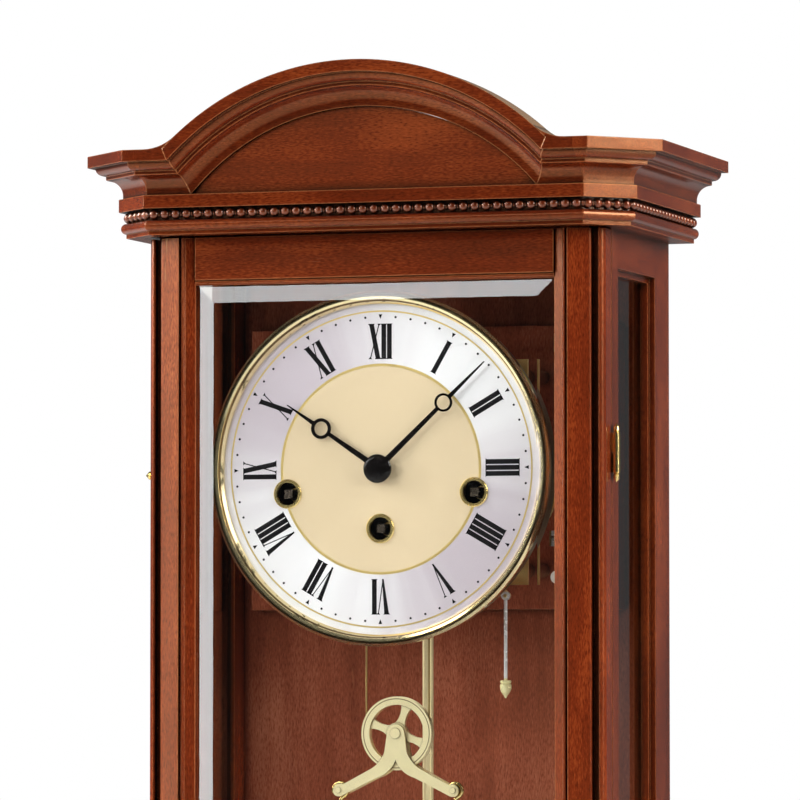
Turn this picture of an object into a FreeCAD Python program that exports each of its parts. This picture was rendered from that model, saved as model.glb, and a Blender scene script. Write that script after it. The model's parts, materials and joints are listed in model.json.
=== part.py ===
import FreeCAD, Part
import math
import os
import Sketcher
from types import SimpleNamespace

# A chiming wall clock. X is to the right, Y goes into the wall and Z is up, in millimetres.
# The wall is the plane Y = 0. Depths are measured from the wall towards the room and called w, so Y = -w.
# Heights are written from the centre of the dial; place() moves them to the wall hanger, the origin.

document = FreeCAD.newDocument("chiming_wall_clock")
sheet = document.addObject("Spreadsheet::Sheet", "Sizes")

DRIVING_SIZES = [
    ("hanger_drop", 24.6, "underside of the cornice down to the wall hanger"),
    ("body_half", 121.0, "half width of the case over its sides"),
    ("set_out_back", 1.6, "front of the door back to the line the mouldings are set out from"),
    ("cant_leg", 11.4, "leg of the 45 degree corner of that line"),
    ("floor_drop", 365.2, "dial centre down to the floor of the case"),
    ("floor_thickness", 18.0, "floor board"),
    ("back_thickness", 8.0, "back board"),
    ("hanger_half", 19.8, "half width of the hanger plate"),
    ("hanger_up", 19.8, "hanger hole up to the top of its plate"),
    ("hanger_down", 13.8, "hanger hole down to the bottom of its plate"),
    ("hanger_thickness", 2.0, "hanger plate"),
    ("hanger_play", 0.2, "play of the hanger plate in its seat"),
    ("keyhole_radius", 4.5, "round hole of the hanger"),
    ("slot_radius", 2.2, "half width of its slot"),
    ("slot_rise", 11.0, "round hole up to the round end of the slot"),
    ("hanger_screw_radius", 1.8, "screw holes of the hanger plate"),
    ("hanger_screw_out", 15.0, "screw holes, out from the middle"),
    ("side_thickness", 12.0, "side frames"),
    ("side_depth", 107.6, "wall to the front edge of the side frames"),
    ("side_stile_rear", 30.0, "rear stile of a side frame"),
    ("side_stile_front", 14.6, "front stile of a side frame"),
    ("side_rail", 22.4, "top rail of a side frame"),
    ("side_rail_low", 31.0, "bottom rail of a side frame"),
    ("side_rebate", 5.0, "rebate for a side pane, width and depth"),
    ("side_step", 3.0, "step round the outside of a side opening, width and depth"),
    ("side_pane", 3.0, "thickness of a side pane"),
    ("backing_offset", 8.0, "mouldings: inner face, out from the set-out line"),
    ("fillet_offset", 13.65, "cornice fillet, out from the set-out line"),
    ("fillet_height", 2.2, "cornice fillet"),
    ("torus_offset", 14.2, "edges of the torus, out from the set-out line"),
    ("torus_height", 5.4, "cornice torus"),
    ("pearl_offset", 13.9, "edges of the pearl moulding, out from the set-out line"),
    ("pearl_height", 5.8, "pearl moulding"),
    ("frieze_offset", 17.3, "frieze, out from the set-out line"),
    ("frieze_height", 6.7, "frieze"),
    ("crown_offset", 15.3, "foot of the crown, out from the set-out line"),
    ("crown_height", 22.0, "crown moulding"),
    ("crown_reach", 16.9, "foot of the crown out to its fascia"),
    ("arch_margin", 29.3, "side of the case in to the foot of the arch"),
    ("arch_rise", 42.2, "rise of the arch"),
    ("arch_flare", 25.0, "radius where the arch meets the straight crown"),
    ("tympanum_thickness", 5.0, "flat panel under the arch"),
    ("plinth_height", 56.4, "plinth under the base moulding"),
    ("plinth_spread", 7.2, "spread of the plinth foot"),
    ("door_gap", 0.8, "play round the closed door"),
    ("door_thickness", 18.9, "door"),
    ("door_stile", 25.5, "stiles of the door"),
    ("top_rail", 24.0, "top rail of the door"),
    ("bottom_rail", 32.5, "bottom rail of the door"),
    ("glass_rebate", 6.0, "rebate round the door glass"),
    ("glass_play", 0.3, "play of the glass in its rebate"),
    ("glass_setback", 5.3, "front of the door to the front of its glass"),
    ("glass_thickness", 4.0, "door glass"),
    ("glass_edge", 1.8, "door glass at its bevelled edge"),
    ("bevel_width", 15.0, "bevel of the door glass"),
    ("hinge_axis_out", 2.4, "hinge axis out from the side of the case"),
    ("hinge_radius", 1.9, "hinge knuckle"),
    ("hinge_pin_radius", 0.9, "hinge pin"),
    ("hinge_leaf", 0.9, "hinge leaf"),
    ("hinge_length", 10.0, "half of a hinge"),
    ("hinge_play", 0.3, "play between the halves of a hinge"),
    ("running_clearance", 0.06, "radial clearance of a pin that turns in a hole"),
    ("hinge_height", 6.8, "dial centre up to the middle of the top hinge"),
    ("hinge_low", 252.0, "dial centre down to the middle of the bottom hinge"),
    ("dial_forward", 2.4, "dial face in front of the side frames"),
    ("dial_thickness", 1.0, "dial plate"),
    ("bezel_margin", 5.5, "glass opening of the door in to the bezel, at its sides"),
    ("bezel_top_margin", 4.8, "glass opening of the door down to the bezel"),
    ("bezel_ring", 6.0, "width of the bezel seen from the front"),
    ("bezel_lap", 3.6, "bezel out past the edge of the dial plate"),
    ("bezel_height", 5.3, "bezel in front of the dial face"),
    ("cup_depth", 11.0, "cup behind the dial face"),
    ("dial_foot_out", 42.0, "feet of the dial plate, out, up and down from its middle"),
    ("dial_foot_radius", 2.0, "feet of the dial plate"),
    ("winding_side", 49.7, "side winding holes, out from the middle"),
    ("winding_side_drop", 12.2, "side winding holes, below the dial centre"),
    ("winding_low", 30.2, "middle winding hole, below the dial centre"),
    ("collar_radius", 7.5, "flange of a winding collar"),
    ("collar_bore", 5.8, "bore of a winding collar"),
    ("board_margin", 9.0, "side frames in to the movement board"),
    ("board_top", 77.0, "dial centre up to the top of the movement board"),
    ("board_drop", 70.0, "dial centre down to its bottom"),
    ("board_thickness", 15.0, "movement board"),
    ("plate_half_width", 60.0, "movement plates"),
    ("plate_half_height", 58.0, "movement plates"),
    ("plate_thickness", 2.0, "movement plates"),
    ("dial_standoff", 15.0, "back of the front plate to the dial face"),
    ("plate_spacing", 46.4, "back of one movement plate to the back of the other"),
    ("post_radius", 3.5, "posts between movement board and back plate"),
    ("pillar_radius", 4.0, "pillars between the movement plates"),
    ("pillar_x", 52.0, "movement pillars, out from the middle"),
    ("pillar_z", 50.0, "movement pillars, up and down from the middle"),
    ("gear_module", 0.5, "module of the motion work"),
    ("arbor_radius", 2.4, "centre arbor"),
    ("hour_pipe_radius", 4.0, "pipe of the hour wheel"),
    ("hour_hand_length", 59.3, "hour hand"),
    ("minute_hand_gap", 6.3, "tip of the minute hand to the bezel"),
    ("hand_thickness", 0.8, "hands"),
    ("hand_cap_radius", 7.3, "cap on the hands"),
    ("cable_radius", 0.5, "weight cable"),
    ("cable_line", 16.8, "cable strands, out from the middle; radius on the drum and on the pulley"),
    ("cable_setback", 13.2, "back of the front plate to the plane of the cable"),
    ("pivot_radius", 3.0, "arbors of the barrels and of the drum"),
    ("key_square", 4.2, "winding squares"),
    ("barrel_radius", 22.0, "rim of a spring barrel"),
    ("barrel_step", 1.5, "wall of a spring barrel in from its rim"),
    ("barrel_rim", 2.4, "width of that rim"),
    ("barrel_back_gap", 6.0, "back plate to a spring barrel"),
    ("barrel_front_gap", 5.0, "spring barrel to the front plate"),
    ("drum_length", 24.0, "cable drum"),
    ("drum_front", 6.0, "plane of the cable to the front of the drum"),
    ("drum_flange", 2.0, "flanges of the drum"),
    ("flange_rise", 4.0, "flanges of the drum out past the cable"),
    ("pulley_drop", 134.0, "dial centre down to the pulley"),
    ("pulley_radius", 18.8, "rim of the pulley"),
    ("pulley_thickness", 4.4, "rim of the pulley"),
    ("yoke_half", 30.7, "weight pins, out from the middle"),
    ("yoke_fall", 29.0, "weight pins, below the pulley"),
    ("yoke_plate", 1.2, "yoke plates"),
    ("weight_radius", 15.0, "weights"),
    ("weight_length", 110.0, "weights"),
    ("hook_wire", 1.1, "radius of the wire of a weight hook"),
    ("weight_pin_radius", 2.5, "weight pins"),
    ("pendulum_standoff", 8.0, "movement board to the pendulum rod"),
    ("pendulum_pivot", 47.4, "dial centre up to the pendulum pivot"),
    ("pendulum_pin", 1.2, "stud that the pendulum hangs on"),
    ("pendulum_eye", 4.0, "eye of the pendulum rod"),
    ("pendulum_eye_thickness", 1.6, "eye of the pendulum rod"),
    ("rod_width", 5.7, "pendulum rod"),
    ("rod_rib", 0.9, "ribs of the pendulum rod in front of its middle"),
    ("thread_radius", 1.2, "thread for the rating nut"),
    ("thread_length", 12.0, "thread for the rating nut"),
    ("bob_radius", 39.0, "pendulum bob"),
    ("bob_depth", 7.5, "pendulum bob"),
    ("bob_edge", 2.5, "rim of the pendulum bob"),
    ("bob_curve", 150.0, "radius of the face of the bob"),
    ("bob_drop", 290.0, "dial centre down to the middle of the bob"),
    ("chime_rod_standoff", 8.0, "movement board to the chime rods"),
    ("chime_rod_radius", 1.5, "chime rods"),
    ("chime_rod_pitch", 8.0, "chime rods, from one to the next"),
    ("chime_rod_first", 68.0, "first chime rod, out from the middle"),
    ("chime_rod_drop", 62.0, "dial centre down to the end of the chime rods"),
    ("hammer_arm", 20.0, "hammer arbor down to the hammer heads"),
    ("hammer_standoff", 18.0, "movement board to the hammer arbor"),
    ("rail_margin", 4.7, "outer hammers to the ends of the hammer rail"),
    ("rail_arm", 1.0, "arms of the hammer rail"),
    ("hammer_drop", 34.0, "dial centre down to the hammer arbor"),
    ("pull_x", 55.0, "pull rod, out from the middle"),
    ("pull_top", 64.0, "dial centre down to the pin of the pull rod"),
    ("pull_length", 43.0, "pin of the pull rod down to its acorn"),
]


class Size:
    """A length that carries its number together with the sheet formula it came from."""

    def __init__(self, value, formula):
        self.value = value
        self.formula = formula

    def joined(self, other, sign, value):
        return Size(value, "(" + self.formula + " " + sign + " " + other.formula + ")")

    def __add__(self, other):
        other = as_size(other)
        return self.joined(other, "+", self.value + other.value)

    def __radd__(self, other):
        return as_size(other) + self

    def __sub__(self, other):
        other = as_size(other)
        return self.joined(other, "-", self.value - other.value)

    def __rsub__(self, other):
        return as_size(other) - self

    def __mul__(self, other):
        other = as_size(other)
        return self.joined(other, "*", self.value * other.value)

    def __rmul__(self, other):
        return as_size(other) * self

    def __truediv__(self, other):
        other = as_size(other)
        return self.joined(other, "/", self.value / other.value)

    def __rtruediv__(self, other):
        return as_size(other) / self

    def __neg__(self):
        return Size(-self.value, "(-1 * " + self.formula + ")")

    def __float__(self):
        return self.value


def as_size(number):
    if isinstance(number, Size):
        return number
    text = format(float(number), ".6f")
    return Size(float(number), "(" + text + ")" if number < 0 else text)


def root(size):
    """The square root of a Size."""
    return Size(math.sqrt(size.value), "sqrt(" + size.formula + ")")


def read_sizes():
    """Put the driving sizes in the sheet and give them back as named Sizes."""
    for row, (name, value, note) in enumerate(DRIVING_SIZES, start=1):
        sheet.set("A" + str(row), name)
        sheet.set("B" + str(row), str(value))
        sheet.set("C" + str(row), note)
        sheet.setAlias("B" + str(row), name)
    document.recompute()
    named = {name: Size(float(sheet.get(name)), "Sizes." + name) for name, value, note in DRIVING_SIZES}
    return SimpleNamespace(**named)


d = read_sizes()
nodes = {}


# Helpers that bind objects to the sheet


def bind(item, prop, size):
    item.setExpression(prop, as_size(size).formula)


def place(item, x=0, w=0, z=0):
    """Set an object by its own origin: x, depth w from the wall, height z from the dial centre."""
    bind(item, "Placement.Base.x", x)
    bind(item, "Placement.Base.y", -as_size(w))
    bind(item, "Placement.Base.z", as_size(z) - dial_drop)
    return item


def keep(item, label):
    """Make an object a sub-part under its own name."""
    item.Label = label
    nodes[label] = item
    return item


def new_body(name):
    return document.addObject("PartDesign::Body", name)


def origin_plane(body, role):
    return [feature for feature in body.Origin.OriginFeatures if feature.Role == role][0]


def bound_point(sketch, geometry, point, x, y):
    for kind, size in (("DistanceX", x), ("DistanceY", y)):
        size = as_size(size)
        index = sketch.addConstraint(Sketcher.Constraint(kind, -1, 1, geometry, point, size.value))
        bind(sketch, "Constraints[" + str(index) + "]", size)


def draw_circle(sketch, x, y, radius):
    centre = FreeCAD.Vector(float(x), float(y), 0)
    circle = Part.Circle(centre, FreeCAD.Vector(0, 0, 1), float(radius))
    geometry = sketch.addGeometry(circle, False)
    bound_point(sketch, geometry, 3, x, y)
    index = sketch.addConstraint(Sketcher.Constraint("Radius", geometry, float(radius)))
    bind(sketch, "Constraints[" + str(index) + "]", radius)


def arc_between(start, end, radius):
    """The minor arc from start to end, drawn anticlockwise; a positive radius turns left on the way."""
    chord = end - start
    left = FreeCAD.Vector(-chord.y, chord.x, 0).normalize()
    reach = math.sqrt(max(radius * radius - chord.Length ** 2 / 4, 0.0))
    sag = abs(radius) - reach
    middle = (start + end) / 2 - left * math.copysign(sag, radius)
    return Part.Arc(start, middle, end) if radius > 0 else Part.Arc(end, middle, start)


def draw_path(sketch, points, closed=True):
    """Lines through (x, y) points; a third value on a point makes an arc of that radius to the next one."""
    count = len(points)
    last = count if closed else count - 1
    corners = [FreeCAD.Vector(float(point[0]), float(point[1]), 0) for point in points]
    drawn = []
    for number in range(last):
        start = corners[number]
        end = corners[(number + 1) % count]
        curved = len(points[number]) > 2
        shape = arc_between(start, end, float(points[number][2])) if curved else Part.LineSegment(start, end)
        geometry = sketch.addGeometry(shape, False)
        made = sketch.Geometry[geometry]
        forward = (made.StartPoint - start).Length < (made.EndPoint - start).Length
        drawn.append((geometry, 1 if forward else 2, 2 if forward else 1))
    for number in range(last if closed else last - 1):
        here = drawn[number]
        after = drawn[(number + 1) % last]
        sketch.addConstraint(Sketcher.Constraint("Coincident", here[0], here[2], after[0], after[1]))
    for number, point in enumerate(points):
        geometry, begin, finish = drawn[number] if number < last else drawn[-1]
        bound_point(sketch, geometry, begin if number < last else finish, point[0], point[1])
        if len(point) > 2:
            radius = point[2] if float(point[2]) > 0 else -as_size(point[2])
            index = sketch.addConstraint(Sketcher.Constraint("Radius", geometry, float(radius)))
            bind(sketch, "Constraints[" + str(index) + "]", radius)


def draw(body, role, loops, offset=None, closed=True):
    """A sketch on an origin plane of the body, moved along the plane's normal by offset."""
    sketch = body.newObject("Sketcher::SketchObject", "outline")
    sketch.AttachmentSupport = [(origin_plane(body, role), "")]
    sketch.MapMode = "FlatFace"
    if offset is not None:
        bind(sketch, "AttachmentOffset.Base.z", offset)
    for loop in loops:
        if loop[0] == "circle":
            draw_circle(sketch, loop[1], loop[2], loop[3])
        else:
            draw_path(sketch, loop, closed)
    return sketch


def pad(body, sketch, length, middle=False):
    feature = body.newObject("PartDesign::Pad", "pad")
    feature.Profile = sketch
    feature.Midplane = middle
    bind(feature, "Length", length)
    return feature


def pocket(body, sketch, length=None, reverse=False):
    """Cut the sketch out, through everything on both sides where no length is given."""
    feature = body.newObject("PartDesign::Pocket", "pocket")
    feature.Profile = sketch
    if length is None:
        feature.Type = "ThroughAll"
        feature.Midplane = True
    else:
        feature.Reversed = reverse
        bind(feature, "Length", length)
    return feature


def turn(body, sketch, axis, angle=360, middle=False):
    feature = body.newObject("PartDesign::Revolution", "turned")
    feature.Profile = sketch
    feature.ReferenceAxis = (sketch, [axis])
    feature.Angle = angle
    feature.Midplane = middle
    return feature


def rectangle(x0, y0, x1, y1):
    return [(x0, y0), (x1, y0), (x1, y1), (x0, y1)]


def plate(name, loops, thickness, x=0, w=0, z=0):
    """A flat piece facing the room: loops in (x, z), from depth w forwards by its thickness."""
    body = new_body(name)
    pad(body, draw(body, "XZ_Plane", loops), thickness)
    return place(body, x, w, z)


def turned(name, axis, profile, x=0, w=0, z=0):
    """A turned piece: (along, radius) points, along being w on axis Y, z on axis Z and x on axis X."""
    body = new_body(name)
    if axis == "Y":
        loop = [(-as_size(p[0]), p[1]) + tuple(-as_size(r) for r in p[2:]) for p in profile]
        turn(body, draw(body, "YZ_Plane", [loop]), "H_Axis")
    elif axis == "Z":
        loop = [(p[1], p[0]) + tuple(-as_size(r) for r in p[2:]) for p in profile]
        turn(body, draw(body, "XZ_Plane", [loop]), "V_Axis")
    else:
        turn(body, draw(body, "XZ_Plane", [profile]), "H_Axis")
    return place(body, x, w, z)


def box(name, x, w, z, length, depth, height):
    """A block from its left, rear, lower corner; depth is taken towards the room."""
    item = document.addObject("Part::Box", name)
    bind(item, "Length", length)
    bind(item, "Width", depth)
    bind(item, "Height", height)
    return place(item, x, as_size(w) + depth, z)


def round_bar(name, axis, radius, length, x, w, z):
    """A cylinder from (x, w, z) forwards, upwards or to the right, on axis Y, Z or X."""
    item = document.addObject("Part::Cylinder", name)
    bind(item, "Radius", radius)
    bind(item, "Height", length)
    turns = {"Y": ((1, 0, 0), 90), "Z": ((0, 0, 1), 0), "X": ((0, 1, 0), 90)}
    around, angle = turns[axis]
    item.Placement.Rotation = FreeCAD.Rotation(FreeCAD.Vector(*around), angle)
    return place(item, x, w, z)


def cut(name, base, tool):
    item = document.addObject("Part::Cut", name)
    item.Base = base
    item.Tool = tool
    return item


def group(name, members):
    """Several solids under one name."""
    item = document.addObject("Part::Compound", name)
    item.Links = members
    return item


def mirrored(name, source):
    """The same piece for the other side of the clock."""
    item = document.addObject("Part::Mirroring", name)
    item.Source = source
    item.Normal = FreeCAD.Vector(1, 0, 0)
    return item


# Levels of the case, from the dial centre

inner_half = d.body_half - d.side_thickness
sight_half = d.body_half - d.door_stile
arch_half_span = d.body_half - d.arch_margin
bezel_radius = sight_half - d.bezel_margin
soffit_height = bezel_radius + d.bezel_top_margin + d.top_rail + d.door_gap
dial_drop = soffit_height - d.hanger_drop
frieze_top = soffit_height + d.fillet_height + d.torus_height + d.pearl_height + d.frieze_height
door_back = d.side_depth + d.door_gap
door_front = door_back + d.door_thickness
front_depth = door_front - d.set_out_back
door_top = soffit_height - d.door_gap
door_low = d.door_gap - d.floor_drop


def set_out(offset):
    """Plan of the canted front at an offset from the set-out line, from the wall round to the wall."""
    half = d.body_half + offset
    front = front_depth + offset
    leg = d.cant_leg + 0.585786 * as_size(offset)
    return [
        (-half, 0),
        (-half, leg - front),
        (leg - half, -front),
        (half - leg, -front),
        (half, leg - front),
        (half, 0),
    ]


def course(name, profile, path=None):
    """A moulding run round the front and mitred at its corners; the profile is (offset, height) points."""
    body = new_body(name)
    spine = draw(body, "XY_Plane", [path or set_out(0)], closed=False)
    section = [(-(d.body_half + p[0]), p[1]) + tuple(-as_size(r) for r in p[2:]) for p in profile]
    pipe = body.newObject("PartDesign::AdditivePipe", "run")
    pipe.Profile = draw(body, "XZ_Plane", [section])
    pipe.Spine = spine
    pipe.Transition = "Right corner"
    return place(body)


def canted_board(name, offset, z, thickness):
    body = new_body(name)
    pad(body, draw(body, "XY_Plane", [set_out(offset)]), thickness)
    return place(body, z=z)


def build_carcass():
    """Back board, side frames, panes, cornice board and floor board."""
    height = soffit_height + d.floor_drop
    outline = rectangle(-inner_half, 0, inner_half, height)
    back = plate("back_board", [outline], d.back_thickness, z=-d.floor_drop)
    hole = dial_drop + d.floor_drop
    half = d.hanger_half + d.hanger_play
    seat = rectangle(-half, hole - d.hanger_down - d.hanger_play, half, hole + d.hanger_up + d.hanger_play)
    pocket(back, draw(back, "XZ_Plane", [seat]), d.hanger_thickness, reverse=True)
    room = d.keyhole_radius + d.slot_radius + 1.3
    well = rectangle(-room, hole - room, room, hole + d.slot_rise + room - d.slot_radius)
    skin = 1.5
    pocket(back, draw(back, "XZ_Plane", [well]), d.back_thickness - skin, reverse=True)
    keep(back, "back_board")

    frame = new_body("side_frame")
    outer = rectangle(-d.side_depth, 0, 0, height)
    rear = -d.side_stile_rear
    front = d.side_stile_front - d.side_depth
    low = d.side_rail_low
    high = height - d.side_rail
    pad(frame, draw(frame, "YZ_Plane", [outer, rectangle(front, low, rear, high)]), d.side_thickness)
    lap = d.side_rebate
    rebate = draw(frame, "YZ_Plane", [rectangle(front - lap, low - lap, rear + lap, high + lap)])
    pocket(frame, rebate, lap, reverse=True)
    step = d.side_step
    ledge = [rectangle(front - step, low - step, rear + step, high + step)]
    pocket(frame, draw(frame, "YZ_Plane", ledge, offset=d.side_thickness), step)
    place(frame, x=inner_half, z=-d.floor_drop)
    keep(mirrored("left_side_frame", frame), "left_side_frame")
    keep(cut("right_side_frame", frame, hinge_mortises("case", frame=True)), "right_side_frame")

    play = d.glass_play
    pane_depth = d.side_depth - d.side_stile_front - d.side_stile_rear + 2 * lap - 2 * play
    pane_low = low - lap + play - d.floor_drop
    pane_height = high - low + 2 * lap - 2 * play
    pane_x = inner_half + lap - d.side_pane
    right = box("right_pane", pane_x, -rear - lap + play, pane_low, d.side_pane, pane_depth, pane_height)
    keep(group("side_glasses", [right, mirrored("left_pane", right)]), "side_glasses")

    board = frieze_top - soffit_height
    keep(canted_board("cornice_board", d.backing_offset, soffit_height, board), "cornice_board")
    floor = canted_board("base_board", d.backing_offset, -d.floor_drop - d.floor_thickness, d.floor_thickness)
    keep(floor, "base_board")


def bulge(height):
    """Radius of a nearly half round edge of this height."""
    return 0.52 * height


def build_cornice():
    """Torus, pearl moulding, frieze, crown with its arch, and the panel under the arch."""
    inside = d.backing_offset
    z0 = soffit_height
    z1 = z0 + d.fillet_height
    z2 = z1 + d.torus_height
    z3 = z2 + d.pearl_height
    torus = [
        (inside, z0),
        (d.fillet_offset, z0),
        (d.fillet_offset, z1),
        (d.torus_offset, z1, bulge(d.torus_height)),
        (d.torus_offset, z2),
        (inside, z2),
    ]
    keep(course("cornice_torus", torus), "cornice_torus")
    pearl = [(inside, z2), (d.pearl_offset, z2, bulge(d.pearl_height)), (d.pearl_offset, z3), (inside, z3)]
    keep(course("cornice_pearls", pearl), "cornice_pearls")
    frieze = [(inside, z3), (d.frieze_offset, z3), (d.frieze_offset, frieze_top), (inside, frieze_top)]
    keep(course("cornice_frieze", frieze), "cornice_frieze")
    build_crown()


def crown_profile(foot):
    """Foot, cove, fillet, ovolo and fascia of the crown, as (offset, height) points above foot."""
    out = d.crown_offset
    reach = d.crown_reach / 16.9
    rise = d.crown_height / 22
    return [
        (d.backing_offset, foot),
        (out, foot),
        (out, foot + 2.1 * rise, -7.6 * (reach + rise) / 2),
        (out + 7.5 * reach, foot + 9.7 * rise),
        (out + 8.1 * reach, foot + 10.0 * rise),
        (out + 8.1 * reach, foot + 11.8 * rise),
        (out + 9.0 * reach, foot + 12.1 * rise, 3.9 * (reach + rise) / 2),
        (out + 13.1 * reach, foot + 15.5 * rise),
        (out + 13.1 * reach, foot + 16.1 * rise),
        (out + 16.9 * reach, foot + 16.1 * rise),
        (out + 16.9 * reach, foot + 22.0 * rise),
        (d.backing_offset, foot + 22.0 * rise),
    ]


def build_crown():
    radius = (arch_half_span * arch_half_span + d.arch_rise * d.arch_rise) / (2 * d.arch_rise)
    centre = frieze_top + d.arch_rise - radius
    top = frieze_top + d.crown_height
    outer = radius + d.crown_height
    outer_x = root(outer * outer - (top - centre) * (top - centre))
    slope = (outer_x - arch_half_span) / d.crown_height
    past = 3 * d.crown_height
    low = frieze_top - past
    high = top + past
    low_x = arch_half_span - past * slope
    high_x = outer_x + past * slope

    arch = new_body("crown_arch")
    section = crown_profile(radius)
    loop = [(-(front_depth + p[0]), p[1]) + tuple(-as_size(r) for r in p[2:]) for p in section]
    turn(arch, draw(arch, "YZ_Plane", [loop]), "H_Axis", angle=124, middle=True)
    ends = []
    for side in (1, -1):
        line = [(side * high_x, high - centre), (side * low_x, low - centre)]
        ends.append(line + [(side * (high_x + past), low - centre), (side * (high_x + past), high - centre)])
    pocket(arch, draw(arch, "XZ_Plane", ends))
    keep(place(arch, z=centre), "crown_arch")

    path = set_out(0)[:3] + [(-arch_half_span / 2, -front_depth)]
    left = course("left_crown", crown_profile(frieze_top), path)
    mitre = [(-low_x, low), (0, low), (0, high), (-high_x, high)]
    pocket(left, draw(left, "XZ_Plane", [mitre]))
    flare = d.arch_flare
    flare_x = root((outer + flare) * (outer + flare) - (top + flare - centre) * (top + flare - centre))
    share = outer / (outer + flare)
    touch = (-flare_x * share, centre + (top + flare - centre) * share)
    wedge = [(-flare_x, top), (-outer_x, top, -outer), touch + (-flare,)]
    depth = d.crown_offset + d.crown_reach - d.backing_offset
    pad(left, draw(left, "XZ_Plane", [wedge], offset=front_depth + d.backing_offset), depth)
    keep(group("crown_returns", [left, mirrored("right_crown", left)]), "crown_returns")

    edge = radius - 0.15
    half = root(edge * edge - (frieze_top - centre) * (frieze_top - centre))
    panel = [(half, frieze_top, edge), (0, centre + edge, edge), (-half, frieze_top)]
    depth = front_depth + d.backing_offset
    keep(plate("tympanum", [panel], d.tympanum_thickness, w=depth), "tympanum")


def build_base():
    """Base moulding and plinth."""
    inside = d.backing_offset
    z0 = -d.floor_drop
    z1 = z0 - d.fillet_height
    z2 = z1 - d.torus_height
    z3 = z2 - d.pearl_height
    moulding = [
        (inside, z3),
        (d.pearl_offset, z3, bulge(d.pearl_height)),
        (d.pearl_offset, z2),
        (d.torus_offset, z2, bulge(d.torus_height)),
        (d.torus_offset, z1),
        (d.fillet_offset, z1),
        (d.fillet_offset, z0),
        (inside, z0),
    ]
    keep(course("base_moulding", moulding), "base_moulding")
    low = z3 - d.plinth_height
    face = d.frieze_offset
    foot = face + d.plinth_spread
    plinth = [
        (inside, low),
        (foot, low),
        (foot, low + 12.4),
        (foot - 1, low + 13, 8),
        (face, low + 19),
        (face, z3),
        (inside, z3),
    ]
    keep(course("plinth", plinth), "plinth")


# Hinges: each has a lower half on the case that carries the pin, and an upper half on the door

hinge_x = d.body_half + d.hinge_axis_out
hinge_w = d.side_depth + d.door_gap / 2
hinge_levels = (d.hinge_height, -d.hinge_low)


def hinge_mortises(name, frame):
    """Blocks cut out of the side frame or the door stile for the hinge leaves."""
    play = d.hinge_play / 2
    depth = d.hinge_leaf + 0.05
    width = d.hinge_length + play
    members = []
    for number, level in enumerate(hinge_levels, start=1):
        low = level - d.hinge_length - play if frame else level
        w = d.side_depth - depth if frame else door_back
        block = box(name + "_mortise_" + str(number), d.body_half - width, w, low, 2 * width, depth, width)
        members.append(block)
    return group(name + "_mortises", members)


def hinge_half(name, upper, level):
    """Leaf, knuckle and finial of one half; the lower one carries the pin."""
    r = d.hinge_radius
    end = d.hinge_length
    start = d.hinge_play / 2
    pin = d.hinge_pin_radius
    finial = [(0, r), (0.16, 0.63 * r), (0.47, 0.63 * r), (0.74, 0.9 * r), (1.58, 0.8 * r), (2.53, 0)]
    if upper:
        bore = pin + d.running_clearance
        profile = [(start, bore), (start, r)] + [(end + along * r, radius) for along, radius in finial]
        profile = profile + [(end - r / 5, 0), (end - r / 5, bore)]
        w = door_back
    else:
        top = end - r / 2
        profile = [(top, 0), (top, pin), (-start, pin), (-start, r)]
        profile = profile + [(-end - along * r, radius) for along, radius in finial]
        w = d.side_depth - d.hinge_leaf
    knuckle = turned(name + "_knuckle", "Z", profile, hinge_x, hinge_w, level)
    low = level + start if upper else level - end
    reach = end + d.hinge_axis_out - pin
    leaf = box(name + "_leaf", d.body_half - end, w, low, reach, d.hinge_leaf, end - start)
    half = document.addObject("Part::Fuse", name)
    half.Base = knuckle
    half.Tool = leaf
    return half


def build_hinges():
    case = [hinge_half("case_hinge_" + str(n), False, level) for n, level in enumerate(hinge_levels, start=1)]
    door = [hinge_half("door_hinge_" + str(n), True, level) for n, level in enumerate(hinge_levels, start=1)]
    keep(group("case_hinge_leaves", case), "case_hinge_leaves")
    keep(group("door_hinge_leaves", door), "door_hinge_leaves")


def build_hanger():
    """Keyhole plate let into the back board; its round hole is the origin."""
    r = d.keyhole_radius
    s = d.slot_radius
    # The slot leaves the round hole where their edges cross.
    crossing = root(r * r - s * s)
    hole = [(-s, crossing, r), (-r, 0, r), (0, -r, r), (r, 0, r), (s, crossing)]
    slot = [(s, d.slot_rise, s), (0, d.slot_rise + s, s), (-s, d.slot_rise)]
    edge = rectangle(-d.hanger_half, -d.hanger_down, d.hanger_half, d.hanger_up)
    screw_rise = (d.hanger_up - d.hanger_down) / 2
    screws = [("circle", side * d.hanger_screw_out, screw_rise, d.hanger_screw_radius) for side in (-1, 1)]
    keep(plate("hanger_plate", [edge, hole + slot] + screws, d.hanger_thickness, z=dial_drop), "hanger_plate")


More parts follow.
